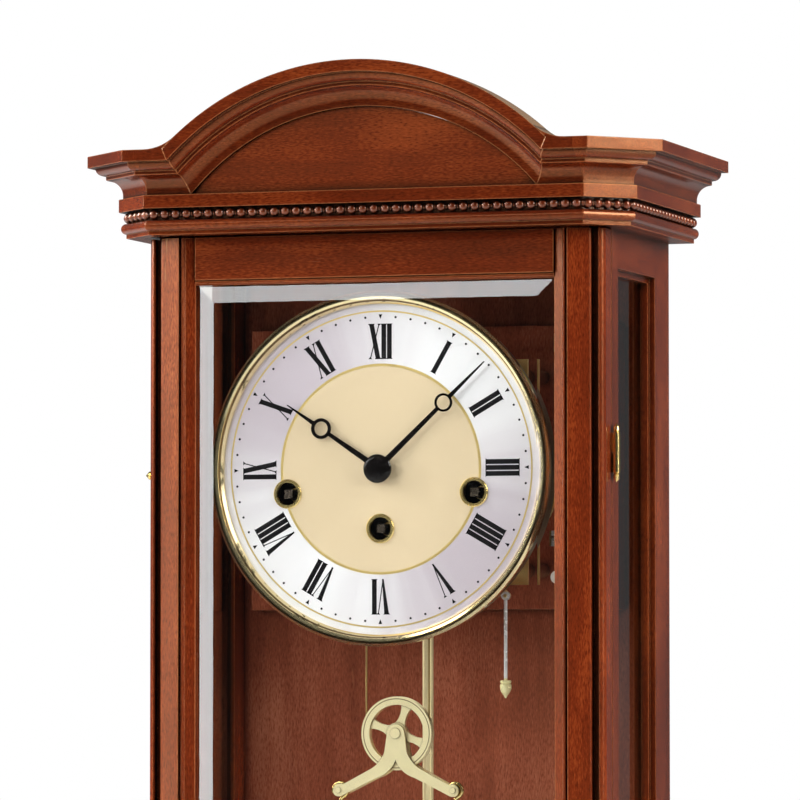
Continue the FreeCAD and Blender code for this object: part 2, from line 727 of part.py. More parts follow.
def build_door():
    """Stiles, rails, bevelled glass, glazing beads and knob."""
    f = door_front
    b = d.body_half
    s = sight_half
    rebate = s + d.glass_rebate
    shoulder = f - d.glass_setback
    section = [
        (s, shoulder),
        (s, shoulder + 1),
        (s + 4.8, f - 1.9),
        (s + 5.3, f - 1.0, 0.9),
        (s + 6.8, f - 1.0),
        (s + 7.0, f - 2.0),
        (s + 7.6, f - 2.0),
        (s + 7.8, f),
        (b - 7.4, f - 3.8, 1.3),
        (b - 6.4, f - 4.9),
        (b - 6.4, f - 9.3),
        (b - 3.2, f - 9.3),
        (b - 3.2, f - 5.9, 1.0),
        (b - 2.2, f - 5.0, 4.0),
        (b + 0.3, f - 8.0),
        (b + 0.3, f - 10.1),
        (b, f - 10.5),
        (b, door_back),
        (rebate, door_back),
        (rebate, shoulder),
    ]
    height = door_top - door_low
    stile = new_body("door_stile")
    loop = [(p[0], -p[1]) + tuple(p[2:]) for p in section]
    pad(stile, draw(stile, "XY_Plane", [loop]), height)
    place(stile, z=door_low)
    keep(mirrored("door_left_stile", stile), "door_left_stile")
    keep(cut("door_right_stile", stile, hinge_mortises("door", frame=False)), "door_right_stile")

    for name, sight, edge in (("top", door_top - d.top_rail, 1), ("bottom", door_low + d.bottom_rail, -1)):
        far = door_top if edge > 0 else door_low
        rail = new_body("door_" + name + "_rail")
        face = [
            (-shoulder, sight - 0.4 * edge),
            (-shoulder - 0.6, sight - 0.4 * edge),
            (-shoulder - 1.6, sight + 0.6 * edge),
            (-shoulder - 1.7, sight + 1.6 * edge),
            (-shoulder - 1.2, sight + 2.0 * edge),
            (-f + 2.8, sight + 2.4 * edge),
            (-f + 2.8, far),
            (-shoulder, far),
        ]
        core = rectangle(-shoulder, sight + d.glass_rebate * edge, -door_back, far)
        pad(rail, draw(rail, "YZ_Plane", [core]), 2 * rebate, middle=True)
        pad(rail, draw(rail, "YZ_Plane", [face]), 2 * s, middle=True)
        keep(place(rail), "door_" + name + "_rail")

    half = rebate - d.glass_play
    high = door_top - d.top_rail + d.glass_rebate - d.glass_play
    low = door_low + d.bottom_rail - d.glass_rebate + d.glass_play
    glass = new_body("door_glass")
    pad(glass, draw(glass, "XZ_Plane", [rectangle(-half, low, half, high)]), d.glass_edge)
    inset = d.bevel_width
    bevel = glass.newObject("PartDesign::AdditiveLoft", "bevel")
    bevel.Profile = draw(glass, "XZ_Plane", [rectangle(-half, low, half, high)], offset=d.glass_edge)
    field = rectangle(inset - half, low + inset, half - inset, high - inset)
    bevel.Sections = [draw(glass, "XZ_Plane", [field], offset=d.glass_thickness)]
    bevel.Ruled = True
    glass_back = shoulder - d.glass_thickness
    keep(place(glass, w=glass_back), "door_glass")

    bead = 4.4
    thick = 5
    behind = glass_back - thick
    upright = box("right_bead", half - bead, behind, low, bead, thick, high - low)
    across = 2 * (half - bead)
    top = box("top_bead", bead - half, behind, high - bead, across, thick, bead)
    bottom = box("bottom_bead", bead - half, behind, low, across, thick, bead)
    beads = group("glazing_beads", [upright, mirrored("left_bead", upright), top, bottom])
    keep(beads, "glazing_beads")

    rosette = [(0, 0), (0, 4.3), (-0.7, 4.3), (-1.2, 3.6), (-1.3, 1.7), (-2.1, 1.4), (-2.6, 2.1), (-3.4, 2.1)]
    knob = turned("door_knob", "X", rosette + [(-4.4, 1.0), (-5.4, 0)], -b, door_back + 4.4, -2)
    keep(knob, "door_knob")


# Movement levels

dial_depth = d.side_depth + d.dial_forward
bezel_opening = bezel_radius - d.bezel_ring
dial_radius = bezel_radius - d.bezel_lap
front_plate_depth = dial_depth - d.dial_standoff
back_plate_depth = front_plate_depth - d.plate_spacing
plate_gap = d.plate_spacing - d.plate_thickness
front_face = front_plate_depth + d.plate_thickness
board_half = inner_half - d.board_margin
board_front = d.back_thickness + d.board_thickness
pendulum_depth = board_front + d.pendulum_standoff
hammer_depth = board_front + d.hammer_standoff
cable_depth = front_plate_depth - d.cable_setback
minute_z = 20 * d.gear_module * 2
minute_hand_depth = dial_depth + 4
hour_hand_depth = dial_depth + 2
stud_x = 38
stud_z = -50
anchor_z = -54
corners = [(x, z) for x in (d.pillar_x, -d.pillar_x) for z in (d.pillar_z, -d.pillar_z)]
winding_places = [(-d.winding_side, -d.winding_side_drop), (d.winding_side, -d.winding_side_drop)]
winding_places = winding_places + [(0, -d.winding_low)]


def build_frame_of_movement():
    """Movement board, posts, the two plates and the pillars between them."""
    low = -d.board_drop
    loop = rectangle(-board_half, low, board_half, d.board_top)
    keep(plate("movement_board", [loop], d.board_thickness, w=d.back_thickness), "movement_board")
    length = back_plate_depth - board_front
    posts = []
    for number, (x, z) in enumerate(corners, start=1):
        posts.append(round_bar("post_" + str(number), "Y", d.post_radius, length, x, board_front, z))
    keep(group("movement_posts", posts), "movement_posts")

    bearing = d.pivot_radius + d.running_clearance
    edge = rectangle(-d.plate_half_width, -d.plate_half_height, d.plate_half_width, d.plate_half_height)
    holes = [("circle", x, z, bearing) for x, z in winding_places]
    holes.append(("circle", 0, 0, d.arbor_radius + d.running_clearance))
    keep(plate("back_plate", [edge] + holes, d.plate_thickness, w=back_plate_depth), "back_plate")
    holes = holes + [("circle", 0, minute_z, 1.5 + d.running_clearance)]
    keep(plate("front_plate", [edge] + holes, d.plate_thickness, w=front_plate_depth), "front_plate")

    start = back_plate_depth + d.plate_thickness
    pillars = []
    for number, (x, z) in enumerate(corners, start=1):
        pillars.append(round_bar("pillar_" + str(number), "Y", d.pillar_radius, plate_gap, x, start, z))
    pillars.append(round_bar("lever_stud", "Y", 1.5, plate_gap, stud_x, start, stud_z))
    pillars.append(round_bar("cable_stud", "Y", 2, plate_gap, d.cable_line, start, anchor_z))
    keep(group("plate_pillars", pillars), "plate_pillars")


def build_dial():
    """Dial plate on its feet, bezel with its cup, and winding collars."""
    tube = d.collar_bore + 0.6
    holes = [("circle", x, z, tube + 0.05) for x, z in winding_places]
    holes.append(("circle", 0, 0, d.hour_pipe_radius + 0.6))
    back = dial_depth - d.dial_thickness
    rim = ("circle", 0, 0, dial_radius)
    dial = plate("dial_plate", [rim] + holes, d.dial_thickness, w=back)
    out = d.dial_foot_out
    feet = [("circle", x, z, d.dial_foot_radius) for x in (out, -out) for z in (out, -out)]
    length = back - front_face
    pad(dial, draw(dial, "XZ_Plane", feet, offset=-length), length)
    keep(dial, "dial_plate")

    r = bezel_radius
    opening = bezel_opening
    inner = dial_radius + 0.2
    wall = inner + 1.4
    face = dial_depth
    front = face + d.bezel_height
    profile = [
        (face, opening),
        (face + 1.6, opening),
        (front - 1.7, opening + 1.2),
        (front - 0.4, opening + 2.0),
        (front, opening + 3.0),
        (front, r - 1.4),
        (front - 1.4, r),
        (face + 1.2, r),
        (face + 0.4, wall),
        (face - d.cup_depth, wall),
        (face - d.cup_depth, inner),
        (face, inner),
    ]
    keep(turned("bezel", "Y", profile), "bezel")

    collars = []
    for number, (x, z) in enumerate(winding_places, start=1):
        bore = d.collar_bore
        flange = d.collar_radius
        ring = [(-1.6, bore), (-1.6, tube), (0, tube), (0, flange)]
        ring = ring + [(0.5, flange), (0.9, flange - 0.5), (0.9, bore)]
        collars.append(turned("collar_" + str(number), "Y", ring, x, dial_depth, z))
    keep(group("winding_grommets", collars), "winding_grommets")


def tooth_outline(teeth, module, shift):
    """A gear outline with stub teeth, straight between involute points; shift is a part of a pitch."""
    pitch = teeth * module / 2
    base = pitch * math.cos(math.radians(20))
    tip = pitch + 0.8 * module
    low = pitch - 1.05 * module
    play = 0.06 * module

    def spread(radius):
        slant = math.acos(min(1.0, base / max(radius, base)))
        start = math.tan(math.radians(20)) - math.radians(20)
        half = math.pi / (2 * teeth) - play / pitch
        return half + start - (math.tan(slant) - slant)

    points = []
    for number in range(teeth):
        middle = 2 * math.pi * (number + shift) / teeth
        for radius, side in ((low, -1), (tip, -1), (tip, 1), (low, 1)):
            turn_to = middle + side * spread(radius)
            points.append(FreeCAD.Vector(radius * math.sin(turn_to), 0, radius * math.cos(turn_to)))
    points.append(points[0])
    return Part.Face(Part.Wire(Part.makePolygon(points)))


def bar_shape(radius, start, end, bore=0):
    """A round bar on the axis Y from depth start to depth end, with a bore."""
    towards = FreeCAD.Vector(0, -1, 0)
    bar = Part.makeCylinder(radius, end - start, FreeCAD.Vector(0, -start, 0), towards)
    if bore:
        bar = bar.cut(Part.makeCylinder(bore, end - start, FreeCAD.Vector(0, -start, 0), towards))
    return bar


def wheel_shape(teeth, module, start, end, shift=0.0, bore=0):
    """A toothed wheel on the axis Y from depth start to depth end."""
    face = tooth_outline(teeth, module, shift)
    face.translate(FreeCAD.Vector(0, -start, 0))
    solid = face.extrude(FreeCAD.Vector(0, start - end, 0))
    if bore:
        solid = solid.cut(bar_shape(bore, start, end))
    return solid


def formula_part(label, shape, x=0, z=0):
    """A sub-part whose shape comes from a formula."""
    item = document.addObject("Part::Feature", label)
    item.Shape = shape.removeSplitter()
    keep(item, label)
    return place(item, x, 0, z)


def build_motion_work():
    """Centre arbor, minute wheel and hour wheel: 20 into 60 teeth and 16 into 64, so twelve to one."""
    module = float(d.gear_module)
    front = float(front_face)
    arbor = float(d.arbor_radius)
    back = float(back_plate_depth)
    end = float(minute_hand_depth + d.hand_thickness) + 1.0
    low = front + 2
    centre = bar_shape(arbor, back - 2, end)
    centre = centre.fuse(wheel_shape(20, module, low, low + 3.2))
    formula_part("centre_arbor", centre)

    # A tooth of the centre pinion points up, so a gap of the 60 wheel points down: half a pitch of shift.
    minute = bar_shape(1.5, float(front_plate_depth) - 3, low + 8.5)
    minute = minute.fuse(wheel_shape(60, module, low + 0.6, low + 2.6, 0.5))
    minute = minute.fuse(wheel_shape(16, module, low + 2.6, low + 7.6, 0.0))
    formula_part("minute_wheel", minute, z=minute_z)

    bore = arbor + float(d.running_clearance)
    pipe = float(d.hour_pipe_radius)
    hour = bar_shape(pipe, low + 3.8, float(hour_hand_depth + d.hand_thickness), bore)
    hour = hour.fuse(wheel_shape(64, module, low + 4.4, low + 6.4, 0.5, bore))
    formula_part("hour_wheel", hour)


def hand(name, length, ring_at, ring_out, ring_in, hub, bore, depth, angle):
    """A hand pointing up from its hub, then turned clockwise by its angle."""
    body = new_body(name)
    thick = d.hand_thickness
    pad(body, draw(body, "XZ_Plane", [("circle", 0, 0, hub), ("circle", 0, 0, bore)]), thick)
    foot = ring_at - ring_out + 0.7
    shaft = [(-1.5, hub - 1), (1.5, hub - 1), (1.0, foot), (-1.0, foot)]
    pad(body, draw(body, "XZ_Plane", [shaft]), thick)
    ring = [("circle", 0, ring_at, ring_out), ("circle", 0, ring_at, ring_in)]
    pad(body, draw(body, "XZ_Plane", ring), thick)
    head = ring_at + ring_out - 0.7
    tip = [(-1.1, head), (1.1, head), (0.25, length), (-0.25, length)]
    pad(body, draw(body, "XZ_Plane", [tip]), thick)
    body.Placement.Rotation = FreeCAD.Rotation(FreeCAD.Vector(0, 1, 0), angle)
    keep(place(body, w=depth), name)


def build_hands():
    """The hands stand at about eight minutes past ten."""
    minutes = 7.77
    minute_angle = 6 * minutes
    hour_angle = 30 * (10 + minutes / 60)
    long = bezel_opening - d.minute_hand_gap
    short = d.hour_hand_length
    pipe = d.hour_pipe_radius + 0.01
    arbor = d.arbor_radius + 0.01
    hand("hour_hand", short, short * 0.629, 5.3, 3.6, 6.6, pipe, hour_hand_depth, hour_angle)
    hand("minute_hand", long, long * 0.618, 4.7, 3.5, 6.6, arbor, minute_hand_depth, minute_angle)
    r = d.hand_cap_radius
    start = minute_hand_depth + d.hand_thickness
    profile = [(0, arbor), (0, r), (0.7, r, -5), (2.2, r - 2.4), (2.6, 2), (2.6, 0), (1.2, 0), (1.2, arbor)]
    keep(turned("hand_cap", "Y", profile, w=start), "hand_cap")


def winding_piece(name, profile, x, z):
    """A barrel or drum turned with its arbor, and the square for the key at its front."""
    piece = turned(name, "Y", profile, x, 0, z)
    half = d.key_square / 2
    square = rectangle(-half, -half, half, half)
    start = front_face + 2
    pad(piece, draw(piece, "XZ_Plane", [square], offset=start), dial_depth - 1 - start)
    keep(piece, name)


def build_barrels():
    """Spring barrels of strike and chime, and the drum of the weight cable."""
    back = back_plate_depth
    end = front_face + 2
    r = d.pivot_radius
    rim = d.barrel_radius
    wall = rim - d.barrel_step
    first = back + d.plate_thickness + d.barrel_back_gap
    last = front_plate_depth - d.barrel_front_gap
    barrel = [
        (back - 1, 0),
        (back - 1, r),
        (first, r),
        (first, rim),
        (first + d.barrel_rim, rim),
        (first + d.barrel_rim, wall),
        (last - 1, wall),
        (last, wall - 1),
        (last, r),
        (end, r),
        (end, 0),
    ]
    winding_piece("strike_barrel", barrel, -d.winding_side, -d.winding_side_drop)
    winding_piece("chime_barrel", barrel, d.winding_side, -d.winding_side_drop)
    core = d.cable_line - d.cable_radius - 0.3
    flange = d.cable_line + d.flange_rise
    thick = d.drum_flange
    last = cable_depth + d.drum_front
    first = last - d.drum_length
    drum = [
        (back - 1, 0),
        (back - 1, r),
        (first, r),
        (first, flange),
        (first + thick, flange),
        (first + thick, core),
        (last - thick, core),
        (last - thick, flange),
        (last, flange),
        (last, r),
        (end, r),
        (end, 0),
    ]
    winding_piece("cable_drum", drum, 0, -d.winding_low)


def swept_wire(name, path, radius, start):
    """A round wire along a path in (x, z) that sets off straight up or down."""
    body = new_body(name)
    spine = draw(body, "XZ_Plane", [path], closed=False)
    wire = body.newObject("PartDesign::AdditivePipe", "wire")
    wire.Profile = draw(body, "XY_Plane", [("circle", path[0][0], 0, radius)], offset=start)
    wire.Spine = spine
    return body


def build_cable():
    """The weight cable: off the drum, under the pulley and up to its stud."""
    r = d.cable_line
    low = -d.pulley_drop
    drop = low - r
    path = [(-r, -d.winding_low), (-r, low, r), (0, drop, r), (r, low), (r, anchor_z - 2)]
    cable = swept_wire("weight_cable", path, d.cable_radius, -d.winding_low)
    keep(place(cable, w=cable_depth), "weight_cable")


def build_pulley():
    """Pulley, the two plates of its yoke with their pins, and the weights on their hooks."""
    r = d.pulley_radius
    half = d.pulley_thickness / 2
    groove = d.cable_line - d.cable_radius - 0.3
    inner = groove - 1.4
    rim = [(-half, inner), (-half, r), (0.6 - half, r), (-0.9, groove)]
    rim = rim + [(0.9, groove), (half - 0.6, r), (half, r), (half, inner)]
    wheel = turned("pulley_wheel", "Y", rim, 0, cable_depth, -d.pulley_drop)
    pin = 2
    bore = pin + d.running_clearance
    hub = [("circle", 0, 0, 5.4), ("circle", 0, 0, bore)]
    pad(wheel, draw(wheel, "XZ_Plane", hub), d.pulley_thickness, middle=True)
    for number in range(4):
        angle = math.radians(20 + 90 * number)
        along = (math.sin(angle), math.cos(angle))
        spoke = []
        edge = [(4.2, 3.0), (7.0, 1.9), (10.0, 1.7), (12.6, 2.1), (inner + 0.6, 3.0)]
        waist = edge + [(reach, -side) for reach, side in reversed(edge)]
        for reach, side in waist:
            spoke.append((reach * along[0] - side * along[1], reach * along[1] + side * along[0]))
        pad(wheel, draw(wheel, "XZ_Plane", [spoke]), 2.4, middle=True)
    keep(wheel, "pulley_wheel")

    y = d.yoke_half
    fall = d.yoke_fall
    arm = [
        (0, 4.6, 4.6),
        (-4.6, 0),
        (-6.0, -9.5, -16),
        (-14, -18.5),
        (2.4 - y, -fall + 2.9, 3.6),
        (-2.2 - y, -fall - 2.3, 3.6),
        (2.2 - y, -fall - 2.6),
        (-10, -22.5, 15),
        (0, -13.5, 15),
        (10, -22.5),
        (y - 2.2, -fall - 2.6, 3.6),
        (y + 2.2, -fall - 2.3, 3.6),
        (y - 2.4, -fall + 2.9),
        (14, -18.5, -16),
        (6.0, -9.5),
        (4.6, 0, 4.6),
    ]
    gap = half + 0.3
    plates = []
    for name, w in (("rear", cable_depth - gap - d.yoke_plate), ("front", cable_depth + gap)):
        plates.append(plate(name + "_yoke_plate", [arm], d.yoke_plate, 0, w, -d.pulley_drop))
    length = 2 * (gap + d.yoke_plate) + 1.6
    start = cable_depth - length / 2
    head = gap + d.yoke_plate
    pins = []
    axle = [(-length / 2, 0), (-length / 2, 2.6), (-head, 2.6), (-head, pin), (head, pin), (head, 2.6)]
    axle = axle + [(length / 2, 2.6), (length / 2, 0)]
    pins.append(turned("pulley_axle", "Y", axle, 0, cable_depth, -d.pulley_drop))
    thick = d.weight_pin_radius
    sleeve = [(-length / 2, 0), (-length / 2, 1.4), (-gap, 1.4), (-gap, thick), (gap, thick), (gap, 1.4)]
    sleeve = sleeve + [(length / 2, 1.4), (length / 2, 0)]
    for name, x in (("left", -y), ("right", y)):
        pins.append(turned(name + "_weight_pin", "Y", sleeve, x, cable_depth, -d.pulley_drop - fall))
    holes = [round_bar("axle_hole", "Y", pin, length, 0, start, -d.pulley_drop)]
    for name, x in (("left", -y), ("right", y)):
        holes.append(round_bar(name + "_pin_hole", "Y", 1.4, length, x, start, -d.pulley_drop - fall))
    drills = group("yoke_holes", holes)
    bored = [cut("bored_" + item.Name, item, drills) for item in plates]
    keep(group("pulley_yoke", bored + pins), "pulley_yoke")
    for name, x in (("left_weight", -y), ("right_weight", y)):
        build_weight(name, x)


def build_weight(name, x):
    """A turned weight and the hook it hangs by; the bend of the hook runs round its pin."""
    level = -d.pulley_drop - d.yoke_fall
    wire = d.hook_wire
    bend = d.weight_pin_radius + wire + d.running_clearance
    back = 3.0
    fall = root(bend * bend + 2 * back * bend)
    share = bend / (bend + back)
    top = -24
    path = [
        (0, top),
        (0, -fall, -back),
        (back * share, -fall * share, bend),
        (bend, 0, bend),
        (0, bend, bend),
        (-bend, 0, bend),
        (-bend * 0.94, -bend * 0.342),
    ]
    hook = swept_wire(name + "_hook", path, wire, top)
    place(hook, x, cable_depth, level)
    r = d.weight_radius
    low = top - d.weight_length
    profile = [
        (top, 0),
        (top, 2.6),
        (top - 2.4, 3.0),
        (top - 3.2, 5.0),
        (top - 4.0, r - 3),
        (top - 5.2, r),
        (top - 8.4, r),
        (top - 8.8, r - 0.5),
        (low + 8.8, r - 0.5),
        (low + 8.4, r),
        (low + 5.2, r),
        (low + 4.0, r - 3),
        (low + 3.2, 5.0),
        (low, 3.6),
        (low, 0),
    ]
    shell = turned(name + "_shell", "Z", profile, x, cable_depth, level)
    keep(group(name, [hook, shell]), name)


def build_pendulum():
    """Stud on the back plate, ribbed rod with its eye, bob and rating nut."""
    eye = d.pendulum_pin
    top = d.pendulum_pivot
    back = back_plate_depth
    near = pendulum_depth
    stud = [(near - 3, 0), (near - 3, 2.2), (near - 2, 2.2), (near - 2, eye), (back - 6, eye), (back - 6, 4)]
    stud = stud + [(back - 2, 4), (back - 2, 7), (back, 7), (back, 0)]
    keep(turned("suspension_cock", "Y", stud, z=top), "suspension_cock")

    rod = new_body("pendulum_rod")
    half = d.rod_width / 2
    rib = d.rod_rib
    core = rib * 0.55
    groove = rib / 3
    section = [
        (-half, -core),
        (rib - half, -rib),
        (2 * rib - half, -groove),
        (half - 2 * rib, -groove),
        (half - rib, -rib),
        (half, -core),
        (half, core),
        (-half, core),
    ]
    end = d.bob_drop + d.bob_radius + 4 + top
    neck = d.pendulum_eye * 0.75
    pad(rod, draw(rod, "XY_Plane", [section], offset=-end), end - neck)
    ring = [("circle", 0, 0, d.pendulum_eye), ("circle", 0, 0, eye + d.running_clearance)]
    pad(rod, draw(rod, "XZ_Plane", ring), d.pendulum_eye_thickness, middle=True)
    thread = draw(rod, "XY_Plane", [("circle", 0, 0, d.thread_radius)], offset=-end - d.thread_length)
    pad(rod, thread, d.thread_length)
    keep(place(rod, w=near, z=top), "pendulum_rod")

    r = d.bob_radius
    edge = d.bob_edge
    front = rib + d.bob_depth
    face = [
        (rib, 0),
        (rib, r - 0.4 * edge),
        (rib + 0.3 * edge, r),
        (rib + 0.7 * edge, r),
        (rib + edge, r - 0.3 * edge),
        (rib + 1.1 * edge, r - 1.2 * edge, -d.bob_curve),
        (front, 4),
        (front, 0),
    ]
    keep(turned("pendulum_bob", "Y", face, 0, near, -d.bob_drop), "pendulum_bob")
    bore = d.thread_radius + d.running_clearance
    nut = [(0, bore), (0, 4.4), (0.5, 5), (3.5, 5), (4, 4.4), (4, bore)]
    low = top - end - d.thread_length / 2
    keep(turned("rating_nut", "Z", nut, 0, near, low), "rating_nut")


def build_chime():
    """Rod block, chime rods, hammer rail and the four hammers."""
    count = 4
    first = d.chime_rod_first
    pitch = d.chime_rod_pitch
    last = first + (count - 1) * pitch
    block_low = d.board_top - 15
    depth = board_front
    block = box("rod_block", first - 4, depth, block_low, last - first + 8, 2 * d.chime_rod_standoff, 10)
    keep(block, "rod_block")
    rods = []
    for number in range(count):
        x = first + number * pitch
        length = block_low + d.chime_rod_drop - 3 * number
        rod = [(0, 0), (0, d.chime_rod_radius), (length - 5, d.chime_rod_radius), (length - 4, 2.6)]
        rod = rod + [(length, 2.6), (length, 0)]
        start = 3 * number - d.chime_rod_drop
        rods.append(turned("chime_rod_" + str(number + 1), "Z", rod, x, depth + d.chime_rod_standoff, start))
    keep(group("chime_rods", rods), "chime_rods")

    z = -d.hammer_drop
    reach = hammer_depth + 3 - depth
    left = first - d.rail_margin
    span = last - first + 2 * d.rail_margin
    arm = d.rail_arm
    strip = box("rail_strip", left, depth, z - 4, span, 2, 8)
    arms = [box("rail_arm_left", left, depth + 2, z - 4, arm, reach - 2, 8)]
    arms.append(box("rail_arm_right", left + span - arm, depth + 2, z - 4, arm, reach - 2, 8))
    arbor = round_bar("hammer_arbor", "X", 1.5, span - 2 * arm, left + arm, hammer_depth, z)
    keep(group("hammer_rail", [strip] + arms + [arbor]), "hammer_rail")
    for number in range(count):
        build_hammer("hammer_" + str(number + 1), first + number * pitch, z)


def build_hammer(name, x, z):
    """Hub on the hammer arbor, arm and round head."""
    hammer = new_body(name)
    hub = [("circle", 0, 0, 2.6), ("circle", 0, 0, 1.5 + d.running_clearance)]
    pad(hammer, draw(hammer, "YZ_Plane", hub), 4.4, middle=True)
    arm = rectangle(-0.9, -d.hammer_arm, 0.9, -2.2)
    pad(hammer, draw(hammer, "YZ_Plane", [arm]), 2.2, middle=True)
    head = draw(hammer, "XZ_Plane", [("circle", 0, -d.hammer_arm, 3.4)])
    pad(hammer, head, 10, middle=True)
    keep(place(hammer, x, hammer_depth, z), name)


def build_pull():
    """Silence lever on its stud, and the pull rod with its acorn hanging from the lever."""
    w = cable_depth - 12
    end_x = d.pull_x - stud_x
    end_z = -d.pull_top - stud_z
    lever = new_body("pull_lever")
    hole = 1.5 + d.running_clearance
    pad(lever, draw(lever, "XZ_Plane", [("circle", 0, 0, 4), ("circle", 0, 0, hole)]), 2)
    arm = [(2.2, 0.6), (end_x + 1.4, end_z + 1.4), (end_x - 1.4, end_z - 1.4), (-0.6, -2.4)]
    pad(lever, draw(lever, "XZ_Plane", [arm]), 2)
    pad(lever, draw(lever, "XZ_Plane", [("circle", end_x, end_z, 2)]), 2)
    pad(lever, draw(lever, "XZ_Plane", [("circle", end_x, end_z, 0.9)]), 4.6)
    bore = draw(lever, "XZ_Plane", [("circle", 0, 0, hole)])
    pocket(lever, bore)
    keep(place(lever, stud_x, w, stud_z), "pull_lever")

    length = d.pull_length
    wire = 0.9
    profile = [
        (-2.0, 0),
        (-2.0, wire),
        (-length, wire),
        (-length, 2.6),
        (-length - 0.8, 3.0),
        (-length - 1.6, 2.5),
        (-length - 2.2, 2.9, 6),
        (-length - 7.4, 1.2),
        (-length - 9, 0.4),
        (-length - 9, 0),
    ]
    rod = turned("pull_rod", "Z", profile, d.pull_x, w + 3.2, -d.pull_top)
    eye = [("circle", 0, 0, 2.2), ("circle", 0, 0, 0.9 + d.running_clearance)]
    pad(rod, draw(rod, "XZ_Plane", eye), 1.6, middle=True)
    keep(rod, "pull_rod")


build_carcass()
build_cornice()
build_base()
build_hinges()
build_hanger()
build_door()
build_frame_of_movement()
build_dial()
build_motion_work()
build_hands()
build_barrels()
build_cable()
build_pulley()
build_pendulum()
build_chime()
build_pull()
document.recompute()

faults = [item.Name for item in document.Objects if "Invalid" in item.State or "Error" in item.State]
for label, item in nodes.items():
    if item.Shape.isNull() or not item.Shape.isValid() or item.Shape.Volume <= 0:
        faults.append(label)
if faults:
    raise RuntimeError("these pieces did not build: " + ", ".join(faults))

os.makedirs("parts", exist_ok=True)
for label, item in nodes.items():
    item.Shape.exportStep("parts/" + label + ".step")
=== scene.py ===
import json
import math

import bpy
import numpy as np
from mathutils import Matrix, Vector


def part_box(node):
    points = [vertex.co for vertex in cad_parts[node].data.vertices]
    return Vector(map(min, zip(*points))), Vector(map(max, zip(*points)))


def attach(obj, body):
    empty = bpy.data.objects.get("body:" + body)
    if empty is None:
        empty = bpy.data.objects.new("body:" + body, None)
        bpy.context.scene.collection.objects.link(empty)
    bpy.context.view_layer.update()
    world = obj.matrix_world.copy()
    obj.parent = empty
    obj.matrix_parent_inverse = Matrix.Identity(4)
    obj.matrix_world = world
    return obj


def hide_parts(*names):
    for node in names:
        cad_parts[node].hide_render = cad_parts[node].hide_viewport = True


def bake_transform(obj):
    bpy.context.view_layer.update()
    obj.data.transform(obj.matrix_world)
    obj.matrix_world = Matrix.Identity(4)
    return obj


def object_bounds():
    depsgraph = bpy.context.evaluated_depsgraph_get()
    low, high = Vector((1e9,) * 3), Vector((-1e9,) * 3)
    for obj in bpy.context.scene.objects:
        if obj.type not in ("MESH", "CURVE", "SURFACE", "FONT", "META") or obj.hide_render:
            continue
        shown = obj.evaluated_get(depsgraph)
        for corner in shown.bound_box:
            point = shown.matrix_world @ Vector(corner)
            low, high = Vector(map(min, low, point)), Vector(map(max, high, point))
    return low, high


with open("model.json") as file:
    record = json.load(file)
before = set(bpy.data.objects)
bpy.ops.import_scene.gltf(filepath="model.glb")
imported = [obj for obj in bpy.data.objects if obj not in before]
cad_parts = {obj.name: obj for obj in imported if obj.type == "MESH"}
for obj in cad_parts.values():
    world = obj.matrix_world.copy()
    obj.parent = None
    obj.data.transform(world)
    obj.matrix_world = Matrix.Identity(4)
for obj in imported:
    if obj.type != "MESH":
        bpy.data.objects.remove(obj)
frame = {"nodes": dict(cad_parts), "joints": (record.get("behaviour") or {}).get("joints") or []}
cad_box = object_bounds()

# Sizes, in metres

MM = 0.001
joints = {joint["name"]: joint for joint in frame["joints"]}
DIAL_X = joints["minute_hand_turn"]["pos_m"][0]
DIAL_Z = joints["minute_hand_turn"]["pos_m"][2]
PULLEY_X, CABLE_Y, PULLEY_Z = joints["pulley_spin"]["pos_m"]
DRUM_Z = joints["drum_turn"]["pos_m"][2]
BODY_HALF = -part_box("left_side_frame")[0].x
DIAL_FACE = -110 * MM
CANT_LEG = 11.4 * MM
SET_OUT_FRONT = 125.7 * MM
BACKING_OFFSET = 8 * MM
PEARL_PITCH = 5.85 * MM
PEARL_RADIUS = 2.72 * MM
PEARL_REACH = 2.62 * MM
DISC_RADIUS = 1.9 * MM
DISC_REACH = 0.55 * MM
BAND_BEHIND_PEARLS = 0.4 * MM
CABLE_LINE = 16.8 * MM
CABLE_RADIUS = 0.5 * MM
CABLE_STUD_DROP = 56 * MM
NUMERAL_FOOT = 55.8 * MM
NUMERAL_HEIGHT = 18.0 * MM
TRACK_RADIUS = 77.4 * MM
OUTER_LINE = 80.2 * MM
INNER_LINE = 52.9 * MM
INK = 0.05 * MM
WINDING_OUT = 49.7 * MM
WINDING_DROP = 12.2 * MM
MIDDLE_WINDING_DROP = 30.2 * MM
WINDING_GAP = 7.4 * MM
ARBOR_STEEL_END = -97.5 * MM
ACORN_DROP = 106 * MM
SCREW_RADIUS = 3.2 * MM
SCREW_DOME = 0.35 * MM
SCREW_SLOT_HALF = 0.42 * MM
SCREW_SLOT_DEPTH = 0.5 * MM
SCREW_SINK = 0.3 * MM
SCREW_SKIRT = 1.2 * MM
HANGER_SCREW_OUT = 15 * MM
BACK_SCREW_IN = 6 * MM
BACK_SCREW_UP = 14 * MM
BACK_SCREW_DOWN = 40 * MM
PANE_REBATE = 5 * MM


# Shader sums


